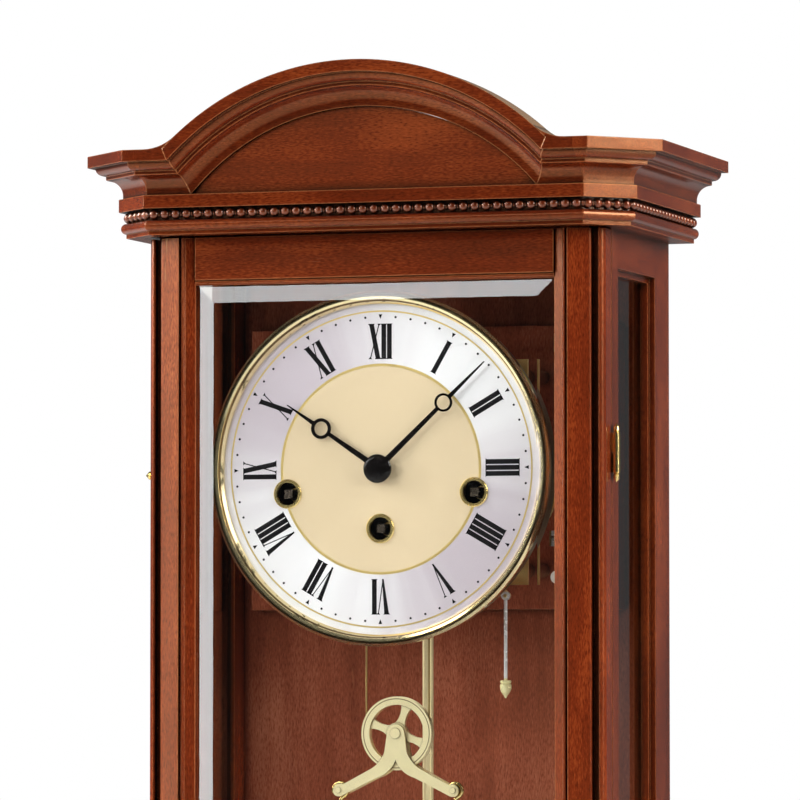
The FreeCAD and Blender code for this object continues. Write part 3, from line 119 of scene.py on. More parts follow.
class Value:
    """A shader socket that takes part in Python sums; each operator adds one Math node."""

    def __init__(self, finish, socket):
        self.finish = finish
        self.socket = socket

    def math(self, operation, first, second=0.0):
        return self.finish.node("Math", {"operation": operation}, {0: first, 1: second})

    def __add__(self, other):
        return self.math("ADD", self, other)

    def __radd__(self, other):
        return self.math("ADD", other, self)

    def __sub__(self, other):
        return self.math("SUBTRACT", self, other)

    def __rsub__(self, other):
        return self.math("SUBTRACT", other, self)

    def __mul__(self, other):
        return self.math("MULTIPLY", self, other)

    def __rmul__(self, other):
        return self.math("MULTIPLY", other, self)

    def __truediv__(self, other):
        return self.math("DIVIDE", self, other)

    def __gt__(self, other):
        return self.math("GREATER_THAN", self, other)

    def __lt__(self, other):
        return self.math("LESS_THAN", self, other)

    def __abs__(self):
        return self.math("ABSOLUTE", self)

    def root(self):
        return self.math("SQRT", self)

    def larger(self, other):
        return self.math("MAXIMUM", self, other)


class Finish:
    """A material or world while it is made: node() adds any shader node and gives back one of its outputs."""

    def __init__(self, name, kind="Material"):
        blocks = bpy.data.worlds if kind == "World" else bpy.data.materials
        self.block = blocks.new(name)
        self.block.use_nodes = True
        self.output = "Output" + kind
        self.tree = self.block.node_tree
        self.tree.nodes.clear()

    def node(self, kind, settings=None, sockets=None, out=0):
        made = self.tree.nodes.new("ShaderNode" + kind)
        for name, value in (settings or {}).items():
            if name == "stops":
                self.set_stops(made.color_ramp, value)
            else:
                setattr(made, name, value)
        for key, value in (sockets or {}).items():
            if isinstance(value, Value):
                self.tree.links.new(value.socket, made.inputs[key])
            else:
                made.inputs[key].default_value = value
        return Value(self, made.outputs[out]) if len(made.outputs) else None

    @staticmethod
    def set_stops(ramp, stops):
        while len(ramp.elements) < len(stops):
            ramp.elements.new(1.0)
        for element, (position, colour) in zip(ramp.elements, stops):
            element.position = position
            element.color = (*colour, 1.0)

    def place(self):
        """Object coordinates as three values, in metres."""
        point = self.node("TexCoord", out="Object")
        return [self.node("SeparateXYZ", sockets={0: point}, out=axis) for axis in range(3)]

    def vector(self, x, y, z):
        return self.node("CombineXYZ", sockets={0: x, 1: y, 2: z})

    def noise(self, vector, scale=1.0, detail=3.0, roughness=0.55):
        sockets = {"Vector": vector, "Scale": scale, "Detail": detail, "Roughness": roughness}
        return self.node("TexNoise", sockets=sockets, out="Fac")

    def ramp(self, factor, stops):
        return self.node("ValToRGB", {"stops": stops}, {"Fac": factor})

    def step(self, value, low, high):
        """0 below low, 1 above high, a smooth rise between."""
        settings = {"interpolation_type": "SMOOTHSTEP"}
        return self.node("MapRange", settings, {"Value": value, "From Min": low, "From Max": high})

    def mix(self, factor, first, second):
        """Between two colours."""
        return self.node("Mix", {"data_type": "RGBA"}, {0: factor, 6: first, 7: second}, out=2)

    def blend(self, factor, first, second):
        """Between two values."""
        return self.node("Mix", {"data_type": "FLOAT"}, {0: factor, 2: first, 3: second}, out=0)

    def bump(self, height, strength, distance, normal=None):
        sockets = {"Height": height, "Strength": strength, "Distance": distance}
        if normal:
            sockets["Normal"] = normal
        return self.node("Bump", sockets=sockets)

    def principled(self, **inputs):
        sockets = {key.replace("_", " "): value for key, value in inputs.items()}
        return self.node("BsdfPrincipled", sockets=sockets)

    def done(self, shader):
        self.node(self.output, sockets={"Surface": shader})
        return self.block


def rgb(red, green, blue):
    """A colour with its alpha, from linear red, green and blue."""
    return (red, green, blue, 1.0)


# Finishes

CASE_STAINS = [(0.055, 0.0069, 0.0019), (0.150, 0.0183, 0.0044), (0.375, 0.0695, 0.0153)]
# A darker copy of the case stains, a painted shade, for the crown, the side frames and the pearls.
SHADED_CASE_STAINS = [tuple(0.80 * channel for channel in stain) for stain in CASE_STAINS]
# The back board's stains: partly its own plain wood, partly painted light, lifted and greyed towards pink
# like the pale veil seen through the door glass.
BACK_STAINS_AND_PAINTED_VEIL = [(0.167, 0.0403, 0.0222), (0.327, 0.0820, 0.0431), (0.598, 0.2085, 0.1182)]
# Painted shade: the colour that creases and hollows of the wood are darkened towards.
PAINTED_CREASE_SHADE = (0.008, 0.0020, 0.0010)
# Paler colour of the outer edges: partly rubbed wear, partly a painted highlight of lacquer glinting on
# rounded edges.
RUBBED_EDGE_AND_PAINTED_GLINT = (0.780, 0.2900, 0.0970)


def lacquered_wood(name, directions, bare_top=False, gloss=0.03, stains=CASE_STAINS, wear=1.0,
                   crease=(0.006, 0.30, 0.95), rough=0.31):
    """Stained wood under lacquer; directions() gives the values along and across the grain.

    Stains run from dark to light. Creases get painted shade: they are darkened where ambient occlusion over
    the first of crease falls between its other two values. wear is how strongly the outer edges are painted
    paler, partly rubbed wear and partly a painted highlight of lacquer glinting on rounded edges, and gloss
    is the weight of the lacquer. With bare_top the faces that look up are left as pale unstained wood."""
    wood = Finish(name)
    along, across, deep = directions(wood, *wood.place())
    streak = wood.noise(wood.vector(along * 11, across * 130, deep * 130), detail=4, roughness=0.6)
    fleck = wood.noise(wood.vector(along * 380, across * 1600, deep * 1600), detail=2)
    cloud = wood.noise(wood.vector(along * 12, across * 26, deep * 26), detail=2)
    tone = streak * 0.24 + fleck * 0.36 + cloud * 0.40
    colour = wood.ramp(tone, list(zip((0.30, 0.50, 0.72), stains)))
    pores = wood.step(fleck, 0.30, 0.44)
    colour = wood.mix(0.5 + 0.5 * pores, rgb(*stains[0]), colour)
    # Painted shade: creases and hollows are darkened by ambient occlusion.
    reach, low, high = crease
    shade = wood.node("AmbientOcclusion", {"samples": 6}, {"Distance": reach}, out="AO")
    colour = wood.mix(wood.step(shade, low, high), rgb(*PAINTED_CREASE_SHADE), colour)
    facing = wood.node("NewGeometry", out="Normal")
    rounded = wood.node("Bevel", {"samples": 4}, {"Radius": 0.8 * MM})
    # Outer edges painted paler: partly rubbed wear, partly a painted highlight for the glint of lacquer;
    # ambient occlusion keeps it out of creases.
    if wear:
        turned = {0: facing, 1: rounded}
        edge = 1 - wood.node("VectorMath", {"operation": "DOT_PRODUCT"}, turned, out="Value")
        rubbed_and_glint = wood.step(edge, 0.02, 0.22) * wood.step(shade, 0.48, 0.72) * wear
        colour = wood.mix(rubbed_and_glint * (0.35 + 0.6 * pores), colour, rgb(*RUBBED_EDGE_AND_PAINTED_GLINT))
    if bare_top:
        upward = wood.node("SeparateXYZ", sockets={0: facing}, out=2)
        pale = wood.mix(tone, rgb(0.28, 0.132, 0.053), rgb(0.64, 0.375, 0.174))
        colour = wood.mix(wood.step(upward, 0.45, 0.60), colour, pale)
    relief = wood.bump(fleck * 0.5 + streak * 0.5, 0.25, 0.0002, rounded)
    return wood.done(wood.principled(
        Base_Color=colour,
        Roughness=rough - 0.12 * streak,
        Specular_IOR_Level=0.83,
        Specular_Tint=rgb(1.0, 0.46, 0.20),
        Coat_Weight=gloss,
        Coat_Roughness=0.10,
        Normal=relief,
    ))


def grain_up(wood, x, y, z):
    return z, x, y


def grain_across(wood, x, y, z):
    return x, z, y


def grain_round(wood, x, y, z):
    """Along X on the front of a moulding, and along Y on its two returns."""
    side = abs(x) > BODY_HALF - CANT_LEG / 2
    return wood.blend(side, x, y), z, wood.blend(side, y, x)


def grain_of_side(wood, x, y, z):
    """A side frame: along Z on its stiles and along Y on the rails between them."""
    low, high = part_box("side_glasses")
    rail = (z > high.z - PANE_REBATE) + (z < low.z + PANE_REBATE)
    rail = rail * (y > low.y + PANE_REBATE) * (y < high.y - PANE_REBATE)
    return wood.blend(rail, z, y), wood.blend(rail, y, z), x


# Painted shade and reflection: the dark of the stripes on turned brass and of its creases.
PAINTED_SHADE_TONE = (0.14, 0.076, 0.025)


def polished_brass(name, colour=(0.95, 0.72, 0.29), rough=0.16, haze_depth=0.12,
                   axis=(0, 0), lines=(), painted_crease_shade=False, matt_behind=None, metallic=1.0):
    """Lacquered yellow brass with a faint haze in its gloss.

    Dark rings of painted reflection and shade are (radius, width) about an axis along Y at (x, z);
    painted_crease_shade darkens the creases with painted shade, and past the depth matt_behind the brass is
    left matt."""
    brass = Finish(name)
    x, y, z = brass.place()
    haze = brass.noise(brass.vector(x * 160, y * 160, z * 160), detail=3)
    deep = tuple(channel * 0.82 for channel in colour)
    tint = brass.mix(haze, rgb(*colour), rgb(*deep))
    if lines:
        # Painted stripes: dark rings standing for reflections and shade on the turned profile.
        radius = ((x - axis[0]) * (x - axis[0]) + (z - axis[1]) * (z - axis[1])).root()
        for reach, width in lines:
            line = 1 - brass.step(abs(radius - reach), width * 0.3, width * 0.6)
            tint = brass.mix(line * 0.9, tint, rgb(*PAINTED_SHADE_TONE))
    # Painted shade: creases darkened by ambient occlusion.
    if painted_crease_shade:
        shade = brass.node("AmbientOcclusion", {"samples": 6}, {"Distance": 0.002}, out="AO")
        tint = brass.mix(brass.step(shade, 0.35, 0.90), rgb(*PAINTED_SHADE_TONE), tint)
    gloss = rough + haze_depth * haze
    if matt_behind is not None:
        back = brass.step(y, matt_behind, matt_behind + 0.5 * MM)
        gloss = gloss + 0.2 * back
        metallic = metallic - 0.5 * back
    return brass.done(brass.principled(Base_Color=tint, Metallic=metallic, Roughness=gloss))


def dial_metal():
    """Silver chapter ring round a matt champagne centre, parted by the radius.

    The ring's sheen has two light and two dark quarters, sin 2a, and fine rays along the radius."""
    dial = Finish("dial_metal")
    x, y, z = dial.place()
    out = x - DIAL_X
    up = z - DIAL_Z
    radius = (out * out + up * up).root()
    angle = dial.node("Math", {"operation": "ARCTAN2"}, {0: up, 1: out})
    centre = dial.step(radius, INNER_LINE - 0.1 * MM, INNER_LINE + 0.1 * MM)
    turned = dial.noise(dial.vector(radius * 9000, angle * 2, 0.0), detail=2)
    ray = dial.noise(dial.vector(out / radius * 6, up / radius * 6, 0.0), detail=3)
    sheen = dial.node("Math", {"operation": "SINE"}, {0: angle * 2 - 0.17}) + (ray - 0.5) * 1.2
    silver = dial.mix(dial.step(sheen, -1.1, 1.1), rgb(0.57, 0.487, 0.535), rgb(0.97, 0.945, 0.95))
    silver = dial.mix(turned * 0.30, silver, rgb(0.64, 0.61, 0.65))
    cloud = dial.noise(dial.vector(x * 22, y, z * 22), detail=2)
    gold = dial.mix(cloud, rgb(0.64, 0.503, 0.327), rgb(0.57, 0.448, 0.285))
    relief = dial.bump(turned, 0.15, 0.00005)
    return dial.done(dial.principled(
        Base_Color=dial.mix(centre, gold, silver),
        Metallic=dial.blend(centre, 0.35, 0.55),
        Roughness=dial.blend(centre, 0.50, 0.34) + turned * 0.06,
        Normal=relief,
    ))


def plain_metal(name, colour, rough, metallic=1.0, speckle=0.15, shine=0.5, grit=0.1):
    """Metal or enamel with a fine mottle in its colour and its gloss."""
    metal = Finish(name)
    x, y, z = metal.place()
    mottle = metal.noise(metal.vector(x * 420, y * 420, z * 420), detail=3)
    dark = tuple(channel * (1 - speckle) for channel in colour)
    tint = metal.mix(mottle, rgb(*colour), rgb(*dark))
    return metal.done(metal.principled(
        Base_Color=tint,
        Metallic=metallic,
        Roughness=rough + grit * mottle,
        Specular_IOR_Level=shine,
    ))


def two_metals(name, first, second, axis, level, metallic=1.0, wear=0.3):
    """One metal below a level of X, Y or Z and another above it, both with a fine mottle."""
    metal = Finish(name)
    place = metal.place()
    above = place[axis] > level
    mottle = metal.noise(metal.vector(*[value * 300 for value in place]), detail=3)
    tint = metal.mix(above, rgb(*first), rgb(*second))
    tint = metal.mix(mottle * wear, tint, rgb(0.14, 0.118, 0.083))
    return metal.done(metal.principled(Base_Color=tint, Metallic=metallic, Roughness=0.18 + 0.16 * mottle))


def thin_glass():
    """Flat pane: straight through but greyed, a painted shade that darkens the case seen behind it, with a
    mirror share that grows towards the edge-on view.
    """
    glass = Finish("thin_glass")
    through = glass.node("BsdfTransparent", sockets={"Color": rgb(0.74, 0.72, 0.70)})
    mirror = glass.principled(Base_Color=rgb(0.98, 0.98, 0.98), Metallic=1.0, Roughness=0.02)
    outer = 1 - glass.node("NewGeometry", out="Backfacing")
    share = glass.node("Fresnel", sockets={"IOR": 1.48}) * outer
    return glass.done(glass.node("MixShader", sockets={0: share, 1: through, 2: mirror}))


def bevelled_glass():
    """Thick clear glass that bends light, and lets the lamps through to what lies behind it."""
    glass = Finish("bevelled_glass")
    tint = (0.97, 0.985, 0.98)
    body = glass.principled(Base_Color=rgb(*tint), Roughness=0.0, IOR=1.48, Transmission_Weight=1.0)
    through = glass.node("BsdfTransparent", sockets={"Color": rgb(*tint)})
    shadow = glass.node("LightPath", out="Is Shadow Ray")
    return glass.done(glass.node("MixShader", sockets={0: shadow, 1: body, 2: through}))


def stranded_cable():
    """Dark gold wire rope: its strands run as slanting bands along the piece's UV map."""
    rope = Finish("stranded_cable")
    point = rope.node("UVMap", {"uv_map": "rope"})
    around = rope.node("SeparateXYZ", sockets={0: point}, out=0)
    along = rope.node("SeparateXYZ", sockets={0: point}, out=1)
    strand = rope.node("Math", {"operation": "SINE"}, {0: (around * 6 + along * 900) * (2 * math.pi)})
    strand = strand * 0.5 + 0.5
    colour = rope.mix(strand, rgb(0.22, 0.14, 0.049), rgb(0.72, 0.51, 0.195))
    relief = rope.bump(strand, 0.6, 0.0001)
    return rope.done(rope.principled(Base_Color=colour, Metallic=1.0, Roughness=0.35, Normal=relief))


# Mesh helpers


def new_piece(name, points, faces, material, body, smooth=True):
    """A mesh from an array of points and a list of faces, riding on its body."""
    mesh = bpy.data.meshes.new(name)
    points = np.asarray(points, float).reshape(-1, 3)
    mesh.from_pydata(points.tolist(), [], faces)
    mesh.materials.append(material)
    if smooth:
        mesh.shade_smooth()
    mesh.update()
    piece = bpy.data.objects.new(name, mesh)
    bpy.context.scene.collection.objects.link(piece)
    if body:
        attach(piece, body)
    return piece


def grid_faces(rows, columns, start=0):
    """Quads of a grid of points whose last column joins the first, in order of rows."""
    row = np.arange(rows - 1)[:, None] * columns + start
    column = np.arange(columns)[None, :]
    after = (column + 1) % columns
    quads = [row + column, row + after, row + columns + after, row + columns + column]
    return np.stack(quads, axis=-1).reshape(-1, 4)


def gather(parts):
    """One array of points and one list of faces from several pairs of points and faces."""
    points, faces = [], []
    first = 0
    for part_points, part_faces in parts:
        part_points = np.asarray(part_points, float).reshape(-1, 3)
        points.append(part_points)
        faces += [(np.asarray(face) + first).tolist() for face in part_faces]
        first += len(part_points)
    return np.vstack(points), faces


def prism(outline, front, back):
    """A closed prism between two depths from a convex (x, z) outline, anticlockwise from the front."""
    flat = np.asarray(outline, float)
    count = len(flat)
    ring = np.arange(count)
    after = np.roll(ring, -1)
    points = np.vstack([np.insert(flat, 1, depth, axis=1) for depth in (front, back)])
    sides = np.stack([after, ring, ring + count, after + count], axis=-1)
    return points, [ring, ring[::-1] + count, *sides]


def lathe(profile, sides):
    """A turned surface about the axis Y at the dial centre: profile rows are (radius, y)."""
    profile = np.asarray(profile, float)
    angle = np.linspace(0, 2 * np.pi, sides, endpoint=False)
    x = DIAL_X + profile[:, :1] * np.sin(angle)
    z = DIAL_Z + profile[:, :1] * np.cos(angle)
    y = np.broadcast_to(profile[:, 1:], x.shape)
    return np.stack([x, y, z], axis=-1), grid_faces(len(profile), sides)


# Pearl moulding of the cornice


def set_out(offset):
    """Corners in plan of the canted front at an offset from the set-out line, from wall to wall."""
    half = BODY_HALF + offset
    front = SET_OUT_FRONT + offset
    leg = CANT_LEG + (2 - math.sqrt(2)) * offset
    right = [(half - leg, -front), (half, leg - front), (half, 0.0)]
    return np.array([(-x, y) for x, y in reversed(right)] + right)


def bead_shape(rings, sides, reach, round_reach):
    """A ball stretched along X: x = reach cos t, radius = round_reach sin t, for t from end to end."""
    t = np.linspace(0, np.pi, rings)[1:-1]
    angle = np.linspace(0, 2 * np.pi, sides, endpoint=False)
    x = np.broadcast_to(reach * np.cos(t)[:, None], (len(t), sides))
    y = round_reach * np.sin(t)[:, None] * np.cos(angle)
    z = round_reach * np.sin(t)[:, None] * np.sin(angle)
    points = np.stack([x, y, z], axis=-1).reshape(-1, 3)
    near_end = len(points)
    far_end = near_end + 1
    points = np.vstack([points, [[reach, 0, 0], [-reach, 0, 0]]])
    ring = np.arange(sides)
    after = np.roll(ring, -1)
    last = (len(t) - 1) * sides
    near = np.stack([after, ring, np.full(sides, near_end)], axis=-1)
    far = np.stack([last + ring, last + after, np.full(sides, far_end)], axis=-1)
    return points, [*grid_faces(len(t), sides), *np.stack([near, far], axis=1).reshape(-1, 3)]


def bead_places(corners, shift, extra, level):
    """Turns and places of beads along each straight run between corners, about one pitch apart."""
    turns, places = [], []
    for start, end in zip(corners[:-1], corners[1:]):
        length = np.linalg.norm(end - start)
        count = round(length / PEARL_PITCH)
        along = (end - start) / length
        spots = start + along * length * (np.arange(count + extra) + shift)[:, None] / count
        spots = spots[spots[:, 1] < -1 * MM]
        turn = [[along[0], -along[1], 0], [along[1], along[0], 0], [0, 0, 1]]
        turns.append(np.tile(turn, (len(spots), 1, 1)))
        places.append(np.insert(spots, 2, level, axis=1))
    return np.concatenate(turns), np.concatenate(places)


def pearl_moulding(material):
    """Pearls with small discs between them, on a flat band; both follow the canted front."""
    low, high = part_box("cornice_pearls")
    middle = (low.z + high.z) / 2
    reach = high.x - BODY_HALF - PEARL_RADIUS
    corners = set_out(reach)
    pearl = bead_shape(9, 14, PEARL_REACH, PEARL_RADIUS)
    disc = bead_shape(5, 12, DISC_REACH, DISC_RADIUS)
    parts = []
    for (shape, faces), shift, extra in ((pearl, 0.5, 0), (disc, 0.0, 1)):
        turns, places = bead_places(corners, shift, extra, middle)
        moved = np.einsum("nij,pj->npi", turns, shape) + places[:, None, :]
        parts += [(bead, faces) for bead in moved]
    back = BACKING_OFFSET
    front = reach - BAND_BEHIND_PEARLS
    profile = [(back, low.z), (front, low.z), (front, high.z), (back, high.z)]
    band = np.array([np.insert(set_out(offset), 2, z, axis=1) for offset, z in profile])
    band_faces = [*grid_faces(6, 4), [0, 1, 2, 3], [23, 22, 21, 20]]
    parts.append((band.transpose(1, 0, 2), band_faces))
    points, faces = gather(parts)
    piece = new_piece("pearl_moulding", points, faces, material, "case", smooth=False)
    smooth = np.ones(len(faces), bool)
    smooth[-len(band_faces):] = False
    piece.data.polygons.foreach_set("use_smooth", smooth)
    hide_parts("cornice_pearls")


# Printing on the dial


def bar(u0, u1, width0, width1=None):
    """A stroke from the foot at u0 to the head at u1, with flat ends."""
    width1 = width1 or width0
    top = NUMERAL_HEIGHT / MM
    return [(u0 - width0 / 2, 0), (u0 + width0 / 2, 0), (u1 + width1 / 2, top), (u1 - width1 / 2, top)]


def serif(u, width, foot):
    """A thin serif, bevelled inwards, across the foot or the head of a stroke."""
    top = NUMERAL_HEIGHT / MM
    left, right = u - width / 2, u + width / 2
    bevel, thick = 0.7, 0.9
    if foot:
        return [(left, 0), (right, 0), (right - bevel, thick), (left + bevel, thick)]
    return [(left + bevel, top - thick), (right - bevel, top - thick), (right, top), (left, top)]


LETTERS = {
    "I": (3.0, [bar(0, 0, 2.5), serif(0, 3.5, True), serif(0, 3.5, False)]),
    "V": (6.4, [bar(0.2, -1.9, 0.9, 2.5), bar(0.1, 2.6, 0.5),
                serif(-1.9, 3.7, False), serif(2.6, 2.0, False)]),
    "X": (6.6, [bar(1.8, -1.8, 2.5), bar(-2.4, 2.3, 0.55), serif(1.8, 3.7, True),
                serif(-1.8, 3.7, False), serif(-2.4, 2.0, True), serif(2.3, 2.0, False)]),
}
HOURS = ["XII", "I", "II", "III", "IIII", "V", "VI", "VII", "VIII", "IX", "X", "XI"]


def on_dial(outline, turn, foot):
    """Set an outline of (u, v) millimetres on the dial, standing outwards at a clockwise turn."""
    u, v = np.array(outline, float).T * MM
    radius = v + foot
    x = DIAL_X + radius * math.sin(turn) + u * math.cos(turn)
    z = DIAL_Z + radius * math.cos(turn) - u * math.sin(turn)
    return np.stack([x, z], axis=-1)


def print_shapes(name, outlines, ink):
    """Outlines as one thin layer of ink on the dial's face."""
    points, faces = gather([prism(outline, DIAL_FACE - INK, DIAL_FACE + INK) for outline in outlines])
    new_piece(name, points, faces, ink, "case", smooth=False)


def numerals(ink):
    """Roman hours standing outwards, each word centred on its hour."""
    outlines = []
    for hour, word in enumerate(HOURS):
        widths = [LETTERS[letter][0] for letter in word]
        start = -sum(widths) / 2
        for letter, width in zip(word, widths):
            middle = start + width / 2
            for stroke in LETTERS[letter][1]:
                moved = np.array(stroke) + np.array([middle, 0.0])
                outlines.append(on_dial(moved, hour * math.pi / 6, NUMERAL_FOOT))
            start += width
    print_shapes("dial_numerals", outlines, ink)


def minute_track(ink):
    """A dot for each minute and a small wedge, point inwards, for each hour."""
    outlines = []
    for minute in range(60):
        turn = minute * math.pi / 30
        if minute % 5 == 0:
            shape = [(0, -1.2), (1.0, 1.2), (-1.0, 1.2)]
        else:
            corner = np.linspace(0, 2 * np.pi, 10, endpoint=False)
            shape = np.stack([np.cos(corner), np.sin(corner)], axis=-1) * 0.62
        outlines.append(on_dial(shape, turn, TRACK_RADIUS))
    print_shapes("minute_track", outlines, ink)


def arc_band(radius, width, start, end, count):
    """A flat band along an arc of the dial: a rectangular section carried from start to end, in radians."""
    angle = np.linspace(start, end, count)[:, None]
    front, back = DIAL_FACE - 1.6 * INK, DIAL_FACE + INK
    section = np.array([(-width / 2, back), (-width / 2, front), (width / 2, front), (width / 2, back)])
    reach = radius + section[:, 0]
    x = DIAL_X + reach * np.sin(angle)
    z = DIAL_Z + reach * np.cos(angle)
    y = np.broadcast_to(section[:, 1], x.shape)
    total = 4 * count
    ends = [[0, 1, 2, 3], [total - 1, total - 2, total - 3, total - 4]]
    return np.stack([x, y, z], axis=-1), [*grid_faces(count, 4)[:, ::-1], *ends]


def dial_lines(gold):
    """Two fine gold lines; the inner one stops at the collars of the side winding holes."""
    hole = math.atan2(WINDING_OUT, -WINDING_DROP)
    gap = WINDING_GAP / INNER_LINE
    bands = [
        arc_band(OUTER_LINE, 0.8 * MM, 0.0, 2 * math.pi - 0.0001, 181),
        arc_band(INNER_LINE, 1.3 * MM, gap - hole, hole - gap, 121),
        arc_band(INNER_LINE, 1.3 * MM, hole + gap, 2 * math.pi - hole - gap, 61),
    ]
    points, faces = gather(bands)
    new_piece("dial_lines", points, faces, gold, "case", smooth=False)


# Screws


def screw_heads(steel):
    """Countersunk screws of the hanger and of the back board: low domes with a sunk slot.

    Height over a head of radius r is 0.35 mm (1 - (s/r)^2), less 0.5 mm inside the slot."""
    sides = 40
    ring = np.linspace(0, 1, 9)[1:] * SCREW_RADIUS
    angle = np.linspace(0, 2 * np.pi, sides, endpoint=False)
    x = np.concatenate([[0.0], (ring[:, None] * np.cos(angle)).ravel()])
    z = np.concatenate([[0.0], (ring[:, None] * np.sin(angle)).ravel()])
    s = np.hypot(x, z) / SCREW_RADIUS
    lift = SCREW_DOME * (1 - s ** 2)
    lift = np.where((np.abs(z) < SCREW_SLOT_HALF) & (s < 0.99), lift - SCREW_SLOT_DEPTH, lift)
    shape = np.stack([x, lift, z], axis=-1)
    skirt = shape[-sides:] + np.array([0.0, -SCREW_SKIRT, 0.0])
    shape = np.vstack([shape, skirt])
    first = 1 + np.arange(sides)
    middle_fan = np.stack([np.zeros(sides, int), np.roll(first, -1), first], axis=-1)
    foot = np.arange(len(shape) - sides, len(shape))
    faces = [*middle_fan, *grid_faces(len(ring) + 1, sides, start=1), foot]
    low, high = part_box("hanger_plate")
    level = (low.z + high.z) / 2
    spots = [(side * HANGER_SCREW_OUT, 0.0, level) for side in (-1, 1)]
    low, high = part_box("back_board")
    for level in np.linspace(low.z + BACK_SCREW_UP, high.z - BACK_SCREW_DOWN, 4):
        spots += [(low.x + BACK_SCREW_IN, 0.0, level), (high.x - BACK_SCREW_IN, 0.0, level)]
    parts = []
    for number, spot in enumerate(spots):
        cosine, sine = math.cos(0.7 * number), math.sin(0.7 * number)
        spin = np.array([[cosine, 0, -sine], [0, 1, 0], [sine, 0, cosine]])
        parts.append((shape @ spin.T + np.array(spot) - np.array([0.0, SCREW_SINK, 0.0]), faces))
    points, faces = gather(parts)
    new_piece("back_screws", points, faces, steel, "case", smooth=False)


# Winding holes and the weight cable

SLEEVE_SECTION = [(3.4, 97.2), (3.4, 97.7), (5.9, 97.7), (5.9, 108.3), (6.3, 108.3), (6.3, 97.2), (3.4, 97.2)]


def winding_sleeves(material):
    """Black tubes behind the three winding holes, painted shade that keeps the holes dark: a thin ring
    section, (radius, depth) in mm, round each.
    """
    ring, quads = lathe([(radius * MM, -depth * MM) for radius, depth in SLEEVE_SECTION], 48)
    sides = [(-WINDING_OUT, 0.0, -WINDING_DROP), (WINDING_OUT, 0.0, -WINDING_DROP)]
    places = [*sides, (0.0, 0.0, -MIDDLE_WINDING_DROP)]
    points, faces = gather([(ring + np.array(place), quads) for place in places])
    new_piece("winding_sleeves", points, faces, material, "case", smooth=False)


def weight_cable(material):
    """A round tube: down from the drum, half round the pulley and up to its stud."""
    stud = DIAL_Z - CABLE_STUD_DROP
    straight = 40
    down = np.linspace(DRUM_Z, PULLEY_Z, straight)
    bend = np.linspace(np.pi, 2 * np.pi, 33)[1:-1]
    rise = np.linspace(PULLEY_Z, stud, straight)
    line = np.full(straight, CABLE_LINE)
    x = np.concatenate([-line, CABLE_LINE * np.cos(bend), line])
    z = np.concatenate([down, PULLEY_Z + CABLE_LINE * np.sin(bend), rise])
    path = np.stack([x + PULLEY_X, np.full(len(x), CABLE_Y), z], axis=-1)
    ahead = np.gradient(path, axis=0)
    ahead /= np.linalg.norm(ahead, axis=1, keepdims=True)
    side = np.array([0.0, 1.0, 0.0])
    other = np.cross(ahead, side)
    sides = 12
    angle = np.linspace(0, 2 * np.pi, sides, endpoint=False)
    ring = np.cos(angle)[None, :, None] * side + np.sin(angle)[None, :, None] * other[:, None, :]
    tube = path[:, None, :] + CABLE_RADIUS * ring
    start_cap = np.arange(sides)
    end_cap = start_cap[::-1] + (len(path) - 1) * sides
    points, faces = gather([(tube, [*grid_faces(len(path), sides), start_cap, end_cap])])
    piece = new_piece("weight_cable_rope", points, faces, material, None)
    length = np.concatenate([[0], np.cumsum(np.linalg.norm(np.diff(path, axis=0), axis=1))])
    corner = np.zeros(len(piece.data.loops), np.int32)
    piece.data.loops.foreach_get("vertex_index", corner)
    around = corner % sides / sides
    along = length[corner // sides]
    layer = piece.data.uv_layers.new(name="rope")
    layer.data.foreach_set("uv", np.stack([around, along], axis=-1).astype(np.float32).ravel())
    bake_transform(piece)
    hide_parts("weight_cable")


# Finishes of the CAD pieces


def dress(names, material):
    for name in names:
        node = frame["nodes"][name]
        node.data.materials.clear()
        node.data.materials.append(material)


